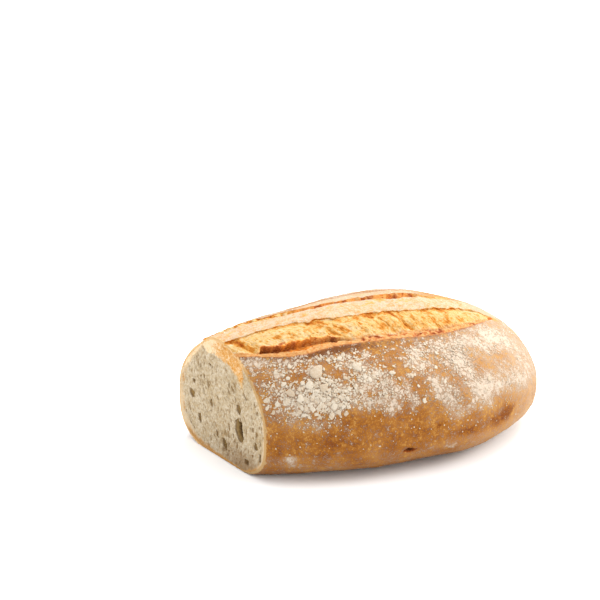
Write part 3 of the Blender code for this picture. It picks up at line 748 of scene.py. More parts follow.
def build_wide_tear():
    """The wide slash's torn crumb: a ledge behind the lip, a groove or hollow, and slanting fibrous plates.

    Its relief is noise: strands drawn out along the plates, lumps, pits, and creases at the plates' edges.
    """
    x = np.linspace(TEAR_FROM, WIDE_TEAR_TO, WIDE_TEAR_RINGS)
    station, turn, lift, count, across, arc, strength = tear_grid(x, WIDE_SLASH, wide_tear_marks(x))
    deep = deepness(station)
    arc = 1.05 * arc
    strand = strand_line(station, across)
    strands = rough(np.stack([strand / 0.85, arc / 4.2, 0 * arc + 3.0], axis=-1), 1.0, 3, 51)
    base = loaf_point(station, turn, 0)
    lumps = rough(base, 4.0, 3, 61)
    pits = np.clip(noise(base, 1.3, 71) - 0.4, 0, 1)
    phase = plate_phase(station, across)
    sharpness = np.interp(phase, np.arange(len(PLATE_CREASES)), PLATE_CREASES)
    crease = bell(np.sin(math.pi * phase), 0, 0.15) * sharpness
    on_plate = ramp(PLATE_MARK - 0.1, PLATE_MARK + 0.3, count)
    on_plate = on_plate * ramp(PLATE_END_MARK, PLATE_END_MARK - 0.3, count)
    on_ledge = ramp(LEDGE_MARK + 0.15, LEDGE_MARK - 0.1, count)
    in_hollow = ramp(LEDGE_MARK, LEDGE_MARK + 0.3, count) * ramp(PLATE_MARK + 0.25, PLATE_MARK, count)
    drift = 0.9 * noise(base, 2.5, 72) + 0.5 * noise(base, 1.0, 73)
    warp = (station + drift, turn + 0.8 * noise(base, 2.5, 74))
    toasted = patches(TOASTED_MARKS, *warp)
    burnt = patches(BURNT_MARKS, *warp)
    slope = 0.5 - (phase - np.floor(phase))
    plate_relief = 0.17 * strands + 0.50 * lumps - 0.9 * pits - 0.5 * crease + 0.30 * slope
    craggy = 0.35 * noise(base, 1.9, 85) + 0.2 * noise(base, 0.9, 89)
    off_relief = 0.15 * lumps + craggy * (on_ledge + in_hollow) - 0.5 * np.clip(burnt, 0, 1)
    relief = plate_relief * on_plate + off_relief * (1 - on_plate) + 0.25 * toasted * strands
    lift = lift + plates(station, turn) + unevenness(station, turn) + relief * strength
    under_strip = ramp(-0.70, -0.92, across) * ramp(-0.1, 0.5, noise(base, 5, 81))
    toast = 0.05 + toasted + 0.30 * under_strip + 0.45 * crease
    toast = toast + 0.10 * ramp(*TOASTIER, station) * ramp(*TOASTY_END, station)
    dark_hollow = in_hollow * deep * ramp(0.2, 0.6, noise(base, 3, 84))
    ledge_crags = ramp(-0.2, 0.5, noise(base, 1.8, 86)) * ramp(1.0, 1.5, count) * on_ledge
    attributes = {
        "toast": toast * on_plate + 0.65 * ramp(PLATE_END_MARK - 0.4, PLATE_END_MARK, count),
        "ledge": on_ledge,
        "hollow": in_hollow * deep * (1 - 0.6 * ramp(*HOLLOW_PALES, station)),
        "groove": in_hollow * (1 - deep),
        "burnt": burnt + 0.35 * dark_hollow + (0.3 + burnt) * ledge_crags * ramp(*CRAGGY_FROM, station),
        "strand": strand,
        "strand_across": arc,
    }
    return strip_piece("torn_wide_slash", loaf_point(station, turn, lift), attributes)


def narrow_tear_marks(x):
    """The lines that run along the narrow tear, from a skirt under the strip to one under the ridge."""
    _, _, there = slash_at(NARROW_SLASH, x)
    _, _, back, ridge = slash_edges(x)
    furrow = FURROW_DEPTH * (FURROW_SHARE + (1 - FURROW_SHARE) * ramp(*FURROW_DEEPENS, x))
    skirt = 0.4 + 0.6 * ramp(0, 5, x)
    gap = back - ridge
    sunk = 0.7 * (1 - there)
    return (
        # turn, lift, rows to the next mark, easing
        (back - 0.05, -2.8 * skirt * there - sunk, 3, 1),
        (back - 0.15, -0.3 * there - sunk, 12, 0.7),
        (back - 0.35 * gap, -0.75 * furrow * there - sunk, 10, 1),
        (back - 0.70 * gap, -furrow * there - sunk, 18, 1.3),
        (ridge + 0.25, 0.4 * there - sunk, 3, 1),
        (ridge + 0.12, -2.4 * skirt * there - sunk, 1, 1),
        (ridge + 0.1, -2.6 * skirt * there - sunk, 0, 1),
    )


def build_narrow_tear():
    """The narrow slash's torn crumb: a furrow between strip and ridge, its floor rough with lumps."""
    x = np.linspace(TEAR_FROM, NARROW_TEAR_TO, NARROW_TEAR_RINGS)
    station, turn, lift, count, _, arc, strength = tear_grid(x, NARROW_SLASH, narrow_tear_marks(x))
    base = loaf_point(station, turn, 0)
    lumps = rough(base, 2.4, 3, 91)
    lift = lift + unevenness(station, turn) + 1.1 * lumps * strength * ramp(0, 4, station)
    warp = (station + 1.2 * noise(base, 3, 96), turn + 1.0 * noise(base, 3, 97))
    ridge_side = ramp(3.3, 3.9, count + 0.45 * noise(base, 2.6, 98) + 0.2 * noise(base, 1.1, 99))
    toasted = ramp(*NARROW_TOASTED, station)
    near_cut = ramp(NARROW_TOASTED[1], 44, station)
    toast = 0.50 - 0.30 * lumps + 0.20 * noise(base, 2.2, 94) - 0.35 * near_cut * (1 - ridge_side)
    attributes = {
        "toast": toast + ridge_side * (0.30 * near_cut - 0.26 * (1 - near_cut)),
        "ledge": 0 * lift,
        "hollow": toasted * np.clip(0.62 - 0.25 * ridge_side - 0.70 * lumps, 0.18, 1.2),
        "groove": 0 * lift,
        "burnt": 1.1 * patches(NARROW_MARKS, *warp) + 0.3 * ramp(0.1, 0.6, -lumps) * toasted,
        "strand": station - 0.5 * arc,
        "strand_across": arc,
    }
    return strip_piece("torn_narrow_slash", loaf_point(station, turn, lift), attributes)


# The crumb on the cut.

HOLES = np.array([
    # y, z, half width, half height, depth, lean
    (-11.2, 22.8, 4.2, 6.6, 7.0, 16), (-11.0, 35.2, 2.0, 2.8, 3.5, 20), (3.3, 9.6, 2.2, 3.4, 5.0, 10),
    (-27.1, 19.1, 1.6, 2.2, 3.0, 8), (-31.5, 13.8, 1.1, 2.8, 2.5, -12), (-18.1, 6.6, 2.5, 1.7, 3.5, 0),
    (37.4, 29.3, 2.4, 2.9, 3.0, 25), (29.2, 16.9, 1.5, 3.0, 3.0, 12), (34.5, 37.6, 1.6, 1.2, 2.0, 0),
    (11.2, 13.5, 1.3, 2.2, 2.5, 15), (17.4, 52.8, 0.9, 1.0, 1.6, 0), (16.5, 30.0, 1.2, 2.4, 2.0, 10),
    (24.0, 44.0, 1.0, 1.3, 1.6, 0), (-2.0, 47.0, 0.9, 1.6, 1.6, 18),
])
PORES = 1500
# How far pores spread over the cut, how high their middle lies, and how the holes' neighbours lean.
PORE_SPREAD, PORE_MIDDLE, PORE_LEAN = (43.0, 34.0), 33, math.radians(90 - 14)
# Points along each side of the cut's grid, and round its outline.
FACE_GRID, OUTLINE_POINTS = 306, 4001
# The golden line where the torn dough browned through to the cut: y, z, half width.
GOLDEN_LINE = np.array([
    (6.0, 63.6, 1.5), (2.9, 62.9, 1.9), (-2.4, 61.6, 1.9), (-6.3, 59.4, 1.8), (-10.2, 56.0, 1.5),
    (-13.5, 51.3, 1.1), (-15.2, 46.0, 0.7),
])
# Above this line of y and z the cut shows torn crumb that browned, not crumb that was cut.
TORN_ABOVE = np.array([
    (-16.1, 49.0), (-11.3, 52.6), (-7.4, 54.8), (-4.6, 56.8), (-0.7, 58.4), (3.3, 59.2), (7.2, 60.0),
    (12.3, 60.5), (17.3, 60.4), (22.4, 60.3), (27.6, 59.6), (36.3, 51.6), (42.9, 44.7), (48.5, 39.3),
])
# Over what height and from which y that torn crumb sets in, and from which height the golden line shows.
TORN_BAND, TORN_FROM_Y, GOLDEN_FROM_Z = (-0.6, 1.2), (-17, -13), (44, 52)
# The turns between which the rim is torn, as a fade at each side.
TORN_EDGE = ((88, 94), (124, 116))
# Stains near the rim: y, z, reach across, reach up, strength.
RIM_STAINS = (
    (46.0, 35.4, 2.0, 3.2, 0.9), (45.2, 19.5, 2.0, 4.0, 0.9), (40.5, 30.0, 1.2, 2.0, 0.5),
    (47.0, 27.0, 1.0, 2.0, 0.5),
)


def cut_profile(turn):
    """How far crust and torn crumb stand over the section at the cut, straight between their marks."""
    at_cut = np.zeros(1)
    crust = [(float(angle[0]), float(lift[0])) for angle, lift, _, _ in crust_marks(at_cut)]
    _, wide_open, _ = slash_at(WIDE_SLASH, 0.0)
    narrow, narrow_open, _ = slash_at(NARROW_SLASH, 0.0)
    lip, front, back, ridge = (float(edge[0]) for edge in slash_edges(at_cut))
    shallow = FURROW_SHARE * FURROW_DEPTH
    torn = [
        # turn, lift
        (lip - 0.7, LEDGE_RISE),
        (lip - LEDGE_TO * wide_open, LEDGE_RISE),
        (lip - FLOOR_AT[0] * wide_open, -GROOVE_DEPTH),
        (lip - PLATE_AT[0] * wide_open, -0.4),
        (lip - 1.2 * wide_open, TORN_CREST),
        (front + 0.12 * wide_open, -TORN_SAG),
        (back - 0.7, -0.3),
        (narrow + 0.3 * narrow_open, -0.75 * shallow),
        (narrow - 0.4 * narrow_open, -shallow),
        (ridge + 0.7, 0.2),
    ]
    turns, lifts = zip(*sorted([mark for mark in crust if mark[1] > -0.6] + torn))
    return np.interp(turn, turns, lifts) + plates(np.zeros_like(turn), turn)


def cut_outline(inset):
    """The section's outline at the cut with its slashes, as points and how far round each lies."""
    turn = np.linspace(-90, 270, OUTLINE_POINTS)
    outline = loaf_point(np.zeros_like(turn), turn, cut_profile(turn) - inset)[:, 1:]
    run = np.concatenate([[0], np.cumsum(np.hypot(*np.diff(outline, axis=0).T))])
    return run / run[-1], outline


def line_distance(y, z, line):
    """The distance to a line of points less the line's half width, blended along each stretch."""
    nearest = np.full(y.shape, 1e9)
    for (ya, za, wa), (yb, zb, wb) in zip(line, line[1:]):
        t = ((y - ya) * (yb - ya) + (z - za) * (zb - za)) / ((yb - ya) ** 2 + (zb - za) ** 2)
        t = np.clip(t, 0, 1)
        gap = np.hypot(y - ya - t * (yb - ya), z - za - t * (zb - za)) - (wa + t * (wb - wa))
        nearest = np.minimum(nearest, gap)
    return nearest


def random_pores(heart):
    """Small ellipses spread evenly over the cut, each with its place, half axes, depth and lean.

    They lean with the holes in the middle and turn to follow the crust towards the rim.
    """
    rng = np.random.default_rng(SEED)
    reach = rng.random(PORES) ** 0.5
    angle = rng.uniform(0, 2 * math.pi, PORES)
    middle_y = heart[0] + PORE_SPREAD[0] * reach * np.cos(angle)
    middle_z = PORE_MIDDLE + PORE_SPREAD[1] * reach * np.sin(angle)
    size = 0.22 + 0.26 * rng.random(PORES) + 0.6 * rng.random(PORES) ** 10
    stretch = 1.4 + 1.6 * rng.random(PORES)
    tangent = np.arctan2(middle_z - heart[1], middle_y - heart[0]) + math.pi / 2
    tangent = (tangent + math.pi / 2) % math.pi - math.pi / 2
    tangent = np.where(tangent < 0, tangent + math.pi, tangent)
    lean = PORE_LEAN + (tangent - PORE_LEAN) * 0.55 * reach + rng.normal(0, 0.22, PORES)
    deep = size * rng.uniform(0.5, 1.1, PORES)
    return np.stack([middle_y, middle_z, size * stretch, size, deep, lean], axis=1)


def pore_field(y, z, share):
    """How deep the cut is hollowed: for each ellipse the root of 1 less its squared radius."""
    heart = np.array([middle_line(0.0), BELLY_SHARE * top_line(0.0)])
    yy = y + 0.45 * noise(np.stack([y, z, 0 * y], -1), 2.0, 101)
    zz = z + 0.45 * noise(np.stack([y, z, 0 * y + 9], -1), 2.0, 102)
    holes = np.column_stack([HOLES[:, [0, 1, 3, 2, 4]], math.pi / 2 - np.radians(HOLES[:, 5])])
    depth = np.zeros_like(y)
    for my, mz, a, b, sunk, tilt in np.concatenate([holes, random_pores(heart)]):
        near = (np.abs(yy - my) < a) & (np.abs(zz - mz) < a)
        dy, dz = yy[near] - my, zz[near] - mz
        u = (dy * math.cos(tilt) + dz * math.sin(tilt)) / a
        v = (dz * math.cos(tilt) - dy * math.sin(tilt)) / b
        bowl = sunk * np.sqrt(np.clip(1 - u * u - v * v, 0, 1))
        depth[near] = np.maximum(depth[near], bowl)
    return depth * ramp(0.0, 0.03, 1 - share)


def cut_grid():
    """A square grid laid on the section by rings of equal share, from 0 at its heart to 1 at its rim."""
    side = np.linspace(-1, 1, FACE_GRID)
    a, b = np.meshgrid(side, side, indexing="ij")
    share = np.maximum(np.abs(a), np.abs(b))
    steep = np.abs(a) >= np.abs(b)
    with np.errstate(divide="ignore", invalid="ignore"):
        angle = np.where(steep, math.pi / 4 * b / a, math.pi / 2 - math.pi / 4 * a / b)
    angle = np.where(steep & (a < 0) | ~steep & (b < 0), angle + math.pi, angle)
    run, outline = cut_outline(RIM)
    at = (angle / (2 * math.pi) + 0.25) % 1
    edge_y, edge_z = np.interp(at, run, outline[:, 0]), np.interp(at, run, outline[:, 1])
    heart_y, heart_z = middle_line(0.0), 0.5 * top_line(0.0)
    return heart_y + share * (edge_y - heart_y), heart_z + share * (edge_z - heart_z), share


def slab(face, out):
    """The face with walls round it and one flat face behind, by the depth of the slab."""
    n = FACE_GRID
    k = np.arange(n)
    loop = np.concatenate([k[:-1] * n, (n - 1) * n + k[:-1], k[:0:-1] * n + n - 1, k[:0:-1]])
    back = face[loop] - out * SLAB_DEPTH
    j = np.arange(len(loop))
    behind = n * n + j
    wall = np.stack([loop, behind, n * n + (j + 1) % len(loop), np.roll(loop, -1)], axis=-1)
    faces = [tuple(quad) for quad in np.concatenate([grid_faces(n, n), wall])]
    return np.concatenate([face, back]), faces + [tuple(behind[::-1])]


def build_crumb():
    """The cut face: sunk where pores open, low and lumpy where it shows torn crumb instead."""
    y, z, share = cut_grid()
    flat_points = np.stack([y, z, 0 * y], axis=-1)
    depth = pore_field(y, z, share)
    crumbly = 0.09 * rough(flat_points, 1.3, 3, 111) + 0.15 * noise(flat_points, 8, 112)
    above = z - np.interp(y, *TORN_ABOVE.T) + 1.6 * noise(flat_points, 3.2, 115)
    above = above + 0.9 * noise(flat_points, 1.3, 116)
    band = ramp(*TORN_BAND, above) * ramp(*TORN_FROM_Y, y)
    torn_lumps = 0.35 * rough(flat_points, 2.4, 3, 117)
    sunk = depth * (1 - 0.7 * band) + (0.15 + crumbly + torn_lumps * band) * ramp(0, 0.02, 1 - share)
    out = np.array([-1.0, KNIFE_SKEW, 0.0]) / math.hypot(1, KNIFE_SKEW)
    points = np.stack([KNIFE_SKEW * y, y, z], axis=-1) - out * sunk[..., None]
    flat, faces = slab(points.reshape(-1, 3), out)
    belly = BELLY_SHARE * top_line(0.0)
    up, across = (z - belly) / (top_line(0.0) - belly), (y - middle_line(0.0)) / half_width(0.0)
    turn = np.degrees(np.arctan2(up, across))
    blur = 0.5 * noise(flat_points, 1.6, 113)
    near_rim = share + 0.01 * blur
    golden = (1 - ramp(-1.0, 3.0, line_distance(y, z, GOLDEN_LINE) + blur)) * ramp(*GOLDEN_FROM_Z, z)
    torn_edge = ramp(*TORN_EDGE[0], turn) * ramp(*TORN_EDGE[1], turn) * ramp(0.80, 0.92, near_rim)
    rim_from = 0.945 - 0.14 * ramp(-5, 35, y) + 0.035 * noise(flat_points, 4.0, 114)
    # Painted shade on the rim near the floor, added to the real stains.
    under = ramp(13, 3, z) * ramp(0.8, 0.97, share)
    looks = {
        "depth": depth,
        "rim": ramp(0, 1, (near_rim - rim_from) / (0.985 - rim_from)),
        "golden": np.maximum(golden, 0.85 * torn_edge),
        "stain": np.clip(patches(RIM_STAINS, y, z) + 0.8 * under, 0, 1),
        # painted shadow: darker towards the foot of the cut, most at its front
        "shade": ramp(24, 2, z - 0.12 * y) * ramp(30, -25, y),
        "band": band,
        "gold": ramp(20, 3, y),
    }
    behind = np.ones(len(flat) - share.size)
    attributes = {name: np.concatenate([values.ravel(), behind]) for name, values in looks.items()}
    return piece("crumb_face", flat, faces, attributes)


# Flour.

# Large flakes where they were seen: station, turn, length, width.
MARKED_FLAKES = (
    (31.4, 136.4, 7.0, 6.4), (14.3, 148.9, 4.8, 4.3), (30.9, 148.7, 4.3, 5.6), (35.6, 145.0, 3.2, 3.2),
    (17.6, 154.5, 5.0, 3.7), (24.6, 145.5, 4.6, 4.8), (6.9, 156.6, 2.8, 3.2), (11.2, 155.6, 3.2, 3.4),
    (3.6, 152.7, 3.6, 3.0), (2.6, 158.3, 2.1, 2.1), (4.6, 162.0, 2.1, 2.1), (54.4, 137.5, 5.2, 4.2),
    (71.2, 146.0, 3.2, 2.7), (73.9, 150.2, 2.1, 2.1), (129.5, 161.0, 3.3, 3.6), (84.0, 166.4, 2.7, 3.0),
)
# Stations, turns, sizes and number of the rest.
FLAKE_PATCHES = (
    ((15, 42), (155, 168), (2.2, 4.2), 30),
    ((8, 60), (124, 156), (1.7, 3.0), 24),
    ((45, 110), (130, 165), (1.6, 2.6), 22),
)
FLAKE_SPACING, TRIES = 0.85, 4000
# Of a flake's height and how far it is sunk, each a share of its breadth.
FLAKE_HEIGHT, FLAKE_SUNK = 0.17, 0.02
CORNERS = 8
LOBES = (2, 3, 5)
# Where small flour is tried, and where it clusters.
CRUMB_TRIES, CRUMB_STATIONS, CRUMB_TURNS = 60000, (1.5, 165), (116, 200)
CRUMB_CLUSTERS = (
    (26, 154, 24, 12, 0.7), (55, 138, 50, 14, 0.5),
)
# The piece, which of the small flakes it takes, counted from the largest, and its seed.
SMALL_FLOUR = (
    ("flour_crumbs", slice(0, 1500), 24),
    ("flour_grains", slice(1500, 3900), 25),
)


def unit(vectors):
    """Vectors made one long."""
    return vectors / np.linalg.norm(vectors, axis=-1, keepdims=True)


def on_crust(station, turn):
    """Points of the crust and the axes there: along, round, and outwards as their cross product."""
    step = 1.0
    here = loaf_point(station, turn, unevenness(station, turn))
    along = unit(loaf_point(station + step, turn, unevenness(station + step, turn)) - here)
    around = unit(loaf_point(station, turn + step, unevenness(station, turn + step)) - here)
    out = unit(np.cross(along, around))
    return here, along, np.cross(out, along), out


def lip_turn(station):
    """The turn of the wide slash's lip, without its ragged edge."""
    return through(WIDE_SLASH, 1, station) + through(WIDE_SLASH, 2, station)


def flake_plan():
    """Where the large flakes lie: the marked ones, then patches of flakes that keep clear of the rest."""
    rng = np.random.default_rng(SEED)
    flakes = list(MARKED_FLAKES)
    taken = [(on_crust(np.array(s), np.array(t))[0], max(a, b) / 2) for s, t, a, b in flakes]
    for stations, turns, sizes, count in FLAKE_PATCHES:
        placed = 0
        for _ in range(TRIES):
            if placed == count:
                break
            s, t = rng.uniform(*stations), rng.uniform(*turns)
            size = sizes[0] + (sizes[1] - sizes[0]) * rng.random() ** 1.7
            point, radius = on_crust(np.array(s), np.array(t))[0], size / 2
            clear = all(np.linalg.norm(point - q) > FLAKE_SPACING * (radius + r) for q, r in taken)
            if clear and t > float(lip_turn(s)) + 4:
                flakes.append((s, t, size, size * rng.uniform(0.7, 1)))
                taken.append((point, radius))
                placed += 1
    return np.array(flakes)


def unit_ball(subdivisions):
    """Directions and triangles of a ball made from an icosahedron."""
    bpy.ops.mesh.primitive_ico_sphere_add(subdivisions=subdivisions, radius=1)
    ball = bpy.context.object
    points = np.empty(len(ball.data.vertices) * 3)
    ball.data.vertices.foreach_get("co", points)
    triangles = np.empty(len(ball.data.polygons) * 3, np.int32)
    ball.data.polygons.foreach_get("vertices", triangles)
    bpy.data.objects.remove(ball)
    return points.reshape(-1, 3), triangles.reshape(-1, 3)


def scatter(name, plan, subdivisions, ruggedness, seed):
    """Every flake as a flat-topped ball with a cornered outline, all joined into one mesh.

    A flake's radius is the nearest of some random straight sides, each its reach over the cosine of the
    angle off it, and three random waves of 2 to 5 lobes; its height is a root of the ball's, so that it has
    a flat top and steep sides; and each point is moved a little at random.
    """
    rng = np.random.default_rng(seed)
    ball, triangles = unit_ball(subdivisions)
    station, turn, length, width, height, sunk = plan.T
    here, along, around, out = on_crust(station, turn)
    count = len(plan)
    spin = rng.uniform(0, 2 * math.pi, count)[:, None]
    axis_a = along * np.cos(spin) + around * np.sin(spin)
    axis_b = around * np.cos(spin) - along * np.sin(spin)
    azimuth = np.arctan2(ball[:, 1], ball[:, 0])
    facing = rng.uniform(0, 2 * math.pi, (count, CORNERS, 1))
    reach = rng.uniform(0.70, 1.12, (count, CORNERS, 1))
    gap = np.cos(azimuth[None, None] - facing)
    outline = np.minimum(np.min(reach / np.maximum(gap, 0.3), axis=1), 1.35)
    for lobes in LOBES:
        strength = ruggedness * rng.uniform(0.2, 1.0, (count, 1)) / lobes**0.5
        outline += strength * np.cos(lobes * azimuth[None] + rng.uniform(0, 2 * math.pi, (count, 1)))
    flat = outline * (1 + 0.3 * ruggedness * rng.uniform(-1, 1, (count, len(ball))))
    top = np.sign(ball[:, 2]) * np.abs(ball[:, 2]) ** 0.45
    tilt = rng.uniform(-0.3, 0.3, (count, 1)) * ball[None, :, 0]
    tilt = tilt + rng.uniform(-0.3, 0.3, (count, 1)) * ball[None, :, 1]
    bumps = 1 + 0.8 * ruggedness * rng.uniform(-1, 1, (count, len(ball)))
    points = (
        here[:, None]
        + axis_a[:, None] * (ball[:, 0] * flat * length[:, None] / 2)[..., None]
        + axis_b[:, None] * (ball[:, 1] * flat * width[:, None] / 2)[..., None]
        + out[:, None] * ((top * bumps + tilt) * height[:, None] - sunk[:, None])[..., None]
    )
    faces = (triangles[None] + (np.arange(count) * len(ball))[:, None, None]).reshape(-1, 3)
    shade = np.repeat(rng.uniform(0, 1, count), len(ball))
    return piece(name, points.reshape(-1, 3), [tuple(triangle) for triangle in faces], {"shade": shade})


def build_flour():
    """Large flakes where the solid has them, small ones round them, and grains over the floured flank."""
    large = flake_plan()
    breadth = large[:, 2:].mean(axis=1)
    plan = np.column_stack([large, FLAKE_HEIGHT * breadth, FLAKE_SUNK * breadth])
    pieces = [scatter("flour_flakes", plan, 3, 0.16, 21)]
    rng = np.random.default_rng(SEED + 5)
    station = rng.uniform(*CRUMB_STATIONS, CRUMB_TRIES)
    turn = rng.uniform(*CRUMB_TURNS, CRUMB_TRIES)
    lip = lip_turn(station)
    cover = 0.3 * ramp(176, 162, turn)
    cover = cover + patches(FLOUR_PATCHES, station, turn) - patches(GOLDEN_WINDOWS, station, turn)
    cluster = patches(CRUMB_CLUSTERS, station, turn)
    near_lip = bell(turn - lip, 5, 4) * ramp(70, 55, station)
    chance = 0.002 + 0.36 * np.clip(cover, 0, 1) * (0.15 + cluster) + 0.05 * near_lip
    keep = (rng.random(CRUMB_TRIES) < chance) & (turn > lip + 0.8)
    station, turn, cluster = station[keep], turn[keep], cluster[keep]
    count = len(station)
    size = 0.5 + 0.4 * rng.random(count) + (0.4 + 1.7 * np.clip(cluster, 0, 1)) * rng.random(count) ** 2.5
    order = np.argsort(-size)
    for name, share, seed in SMALL_FLOUR:
        chosen = order[share]
        s = size[chosen]
        breadth = s * rng.uniform(0.65, 1.0, len(s))
        plan = np.column_stack([station[chosen], turn[chosen], s * 1.15, breadth, 0.24 * s, 0.04 * s])
        pieces.append(scatter(name, plan, 1, 0.2, seed))
    return pieces


# Materials.

class Wire:
    """A number socket that can be reckoned with: each operator adds the Math node that works it out."""

    def __init__(self, bench, socket):
        self.bench, self.socket = bench, socket

    def _math(self, operation, *values):
        return self.bench.node("ShaderNodeMath", {"operation": operation}, dict(enumerate(values)))

    def __add__(self, other):
        return self._math("ADD", self, other)

    def __radd__(self, other):
        return self._math("ADD", other, self)

    def __sub__(self, other):
        return self._math("SUBTRACT", self, other)

    def __rsub__(self, other):
        return self._math("SUBTRACT", other, self)

    def __mul__(self, other):
        return self._math("MULTIPLY", self, other)

    def __rmul__(self, other):
        return self._math("MULTIPLY", other, self)

    def least(self, other):
        """The lesser of the two."""
        return self._math("MINIMUM", self, other)

    def step(self, low, high):
        """0 below low, 1 above high and smooth between."""
        inputs = {"Value": self, "From Min": low, "From Max": high}
        return self.bench.node("ShaderNodeMapRange", {"interpolation_type": "SMOOTHSTEP"}, inputs)


class Bench:
    """A new material and the methods that add to its nodes."""

    def __init__(self, name):
        self.material = bpy.data.materials.new(name)
        self.material.use_nodes = True
        self.tree = self.material.node_tree
        self.shader = self.tree.nodes["Principled BSDF"]

    def node(self, kind, settings, inputs, output=0):
        """A node of that kind, its settings first and then the values or links of its sockets."""
        new = self.tree.nodes.new(kind)
        for key, value in settings.items():
            setattr(new, key, value)
        for key, value in inputs.items():
            self.feed(new.inputs[key], value)
        return Wire(self, new.outputs[output])

    def feed(self, socket, value):
        """Link a wire to a socket, or set the socket to a number, a vector or a colour."""
        if isinstance(value, Wire):
            self.tree.links.new(value.socket, socket)
        elif isinstance(value, tuple) and socket.type == "RGBA":
            socket.default_value = (*value, 1.0)
        else:
            socket.default_value = value

    def place(self):
        """The point of the surface, in the piece's own coordinates."""
        return self.node("ShaderNodeTexCoord", {}, {}, "Object")

    def read(self, names):
        """The attributes of those names, which are words with spaces between."""
        kind = "ShaderNodeAttribute"
        return [self.node(kind, {"attribute_name": name}, {}, "Fac") for name in names.split()]

    def grain(self, kind, settings, where, size_mm, output, **inputs):
        """One output of a texture with grains of about that size."""
        inputs = {"Vector": where, "Scale": 1 / (size_mm * MM), **inputs}
        return self.node(kind, settings, inputs, output)

    def noise(self, where, size_mm, detail=3.0):
        """Noise with grains of about that size, mostly between -1 and 1."""
        extra = {"Detail": detail, "Roughness": NOISE_ROUGHNESS}
        return (self.grain("ShaderNodeTexNoise", {}, where, size_mm, "Fac", **extra) - 0.5) * NOISE_GAIN

    def lots(self, where, size_mm):
        """A random number for each cell, from 0 to 1."""
        colour = self.grain("ShaderNodeTexVoronoi", {"feature": "F1"}, where, size_mm, "Color")
        return self.node("ShaderNodeSeparateColor", {}, {0: colour}, 0)

    def cells(self, where, size_mm, feature="F1"):
        """The distance to the middle of the nearest cell, or to its edge."""
        return self.grain("ShaderNodeTexVoronoi", {"feature": feature}, where, size_mm, "Distance")

    def wandering(self, where, size_mm, amount_mm):
        """The place moved by noise, so that cells get crooked sides."""
        drift = self.grain("ShaderNodeTexNoise", {}, where, size_mm, "Color", Detail=2.0)
        kind = "ShaderNodeVectorMath"
        centred = self.node(kind, {"operation": "SUBTRACT"}, {0: drift, 1: (0.5, 0.5, 0.5)})
        scaled = self.node(kind, {"operation": "SCALE"}, {0: centred, "Scale": amount_mm * MM})
        return self.node(kind, {"operation": "ADD"}, {0: where, 1: scaled})

    def stretched(self, where, turn, scale):
        """The place turned and then stretched, for streaks."""
        inputs = {"Vector": where, "Rotation": turn, "Scale": scale}
        return self.node("ShaderNodeMapping", {}, inputs, "Vector")

    def vector(self, x, y, z):
        """A vector of three numbers."""
        return self.node("ShaderNodeCombineXYZ", {}, {"X": x, "Y": y, "Z": z})

    def mix(self, factor, low, high):
        """From the low colour to the high one."""
        return self.node("ShaderNodeMix", {"data_type": "RGBA"}, {0: factor, 6: low, 7: high}, 2)

    def finish(self, colour, roughness, height, strength, distance_mm):
        """Feed the shader its colour, its roughness and the bumps of a height map."""
        self.feed(self.shader.inputs["Base Color"], colour)
        self.feed(self.shader.inputs["Roughness"], roughness)
        inputs = {"Height": height, "Strength": strength, "Distance": distance_mm * MM}
        self.feed(self.shader.inputs["Normal"], self.node("ShaderNodeBump", {}, inputs))
        self.shader.inputs["Specular IOR Level"].default_value = SHEEN
        return self.material


def tone(red, green, blue):
    """The linear colour that a shader takes for a colour as it looks in the light here, from 0 to 255."""
    def linear(v):
        v /= 255
        return (v / 12.92 if v <= 0.04045 else ((v + 0.055) / 1.055) ** 2.4) * ALBEDO
    return (linear(red), linear(green), linear(blue))


SHEEN, NOISE_GAIN, NOISE_ROUGHNESS = 0.08, 7.0, 0.6

# Tones of the crust, each pair from pale to dark or from thin to thick.
CRUST_PALE, CRUST_BROWN, CRUST_DARK = tone(218, 162, 88), tone(180, 113, 40), tone(134, 66, 8)
FLOUR_FILM, FLOUR_VEIL = tone(228, 194, 158), tone(230, 204, 178)
FLOUR_THIN, FLOUR_THICK = tone(214, 180, 148), tone(240, 219, 196)
SINGED = tone(122, 70, 36)
STRIP_CREAM, STRIP_BAKED = tone(243, 217, 184), tone(230, 166, 98)
WALL_GOLD, WALL_ORANGE = tone(240, 186, 108), tone(208, 108, 24)
LIP_EDGE = tone(198, 124, 74)
# The rim's own tone at the cut, and a painted highlight for its top and back.
RIM_ROUND, RIM_PAINTED_HIGHLIGHT = tone(224, 184, 128), tone(270, 222, 158)
# The crack: brown at its edge, and painted shade in its heart.
CRACK_SIDE, CRACK_PAINTED_SHADE = tone(160, 78, 20), tone(86, 40, 10)

# Tones of the torn crumb.
TORN_CREAM, TORN_GOLD, TORN_ORANGE, TORN_BROWN = (
    tone(246, 215, 168), tone(239, 190, 112), tone(226, 146, 54), tone(184, 94, 20)
)
LEDGE_PALE, LEDGE_ORANGE = tone(242, 190, 126), tone(226, 140, 66)
HOLLOW_PALE, HOLLOW_ORANGE = tone(276, 206, 122), tone(258, 150, 46)
GROOVE_LINE = tone(236, 160, 92)
BURNT_RED, BURNT_DARK = tone(208, 118, 64), tone(146, 60, 18)

# Tones of the cut.
CRUMB_LIGHT, CRUMB_DULL = tone(246, 229, 200), tone(210, 184, 142)
# Painted shade in small pits and in pores.
PIT_PAINTED_SHADE, PORE_PAINTED_SHADE = tone(172, 140, 94), tone(156, 120, 68)
# A hole's golden upper wall, and painted shade deep down in it.
HOLE_WALL, HOLE_PAINTED_SHADE = tone(222, 182, 112), tone(76, 46, 18)
# Painted shadow at the foot of the cut.
FOOT_SHADE = tone(158, 120, 78)
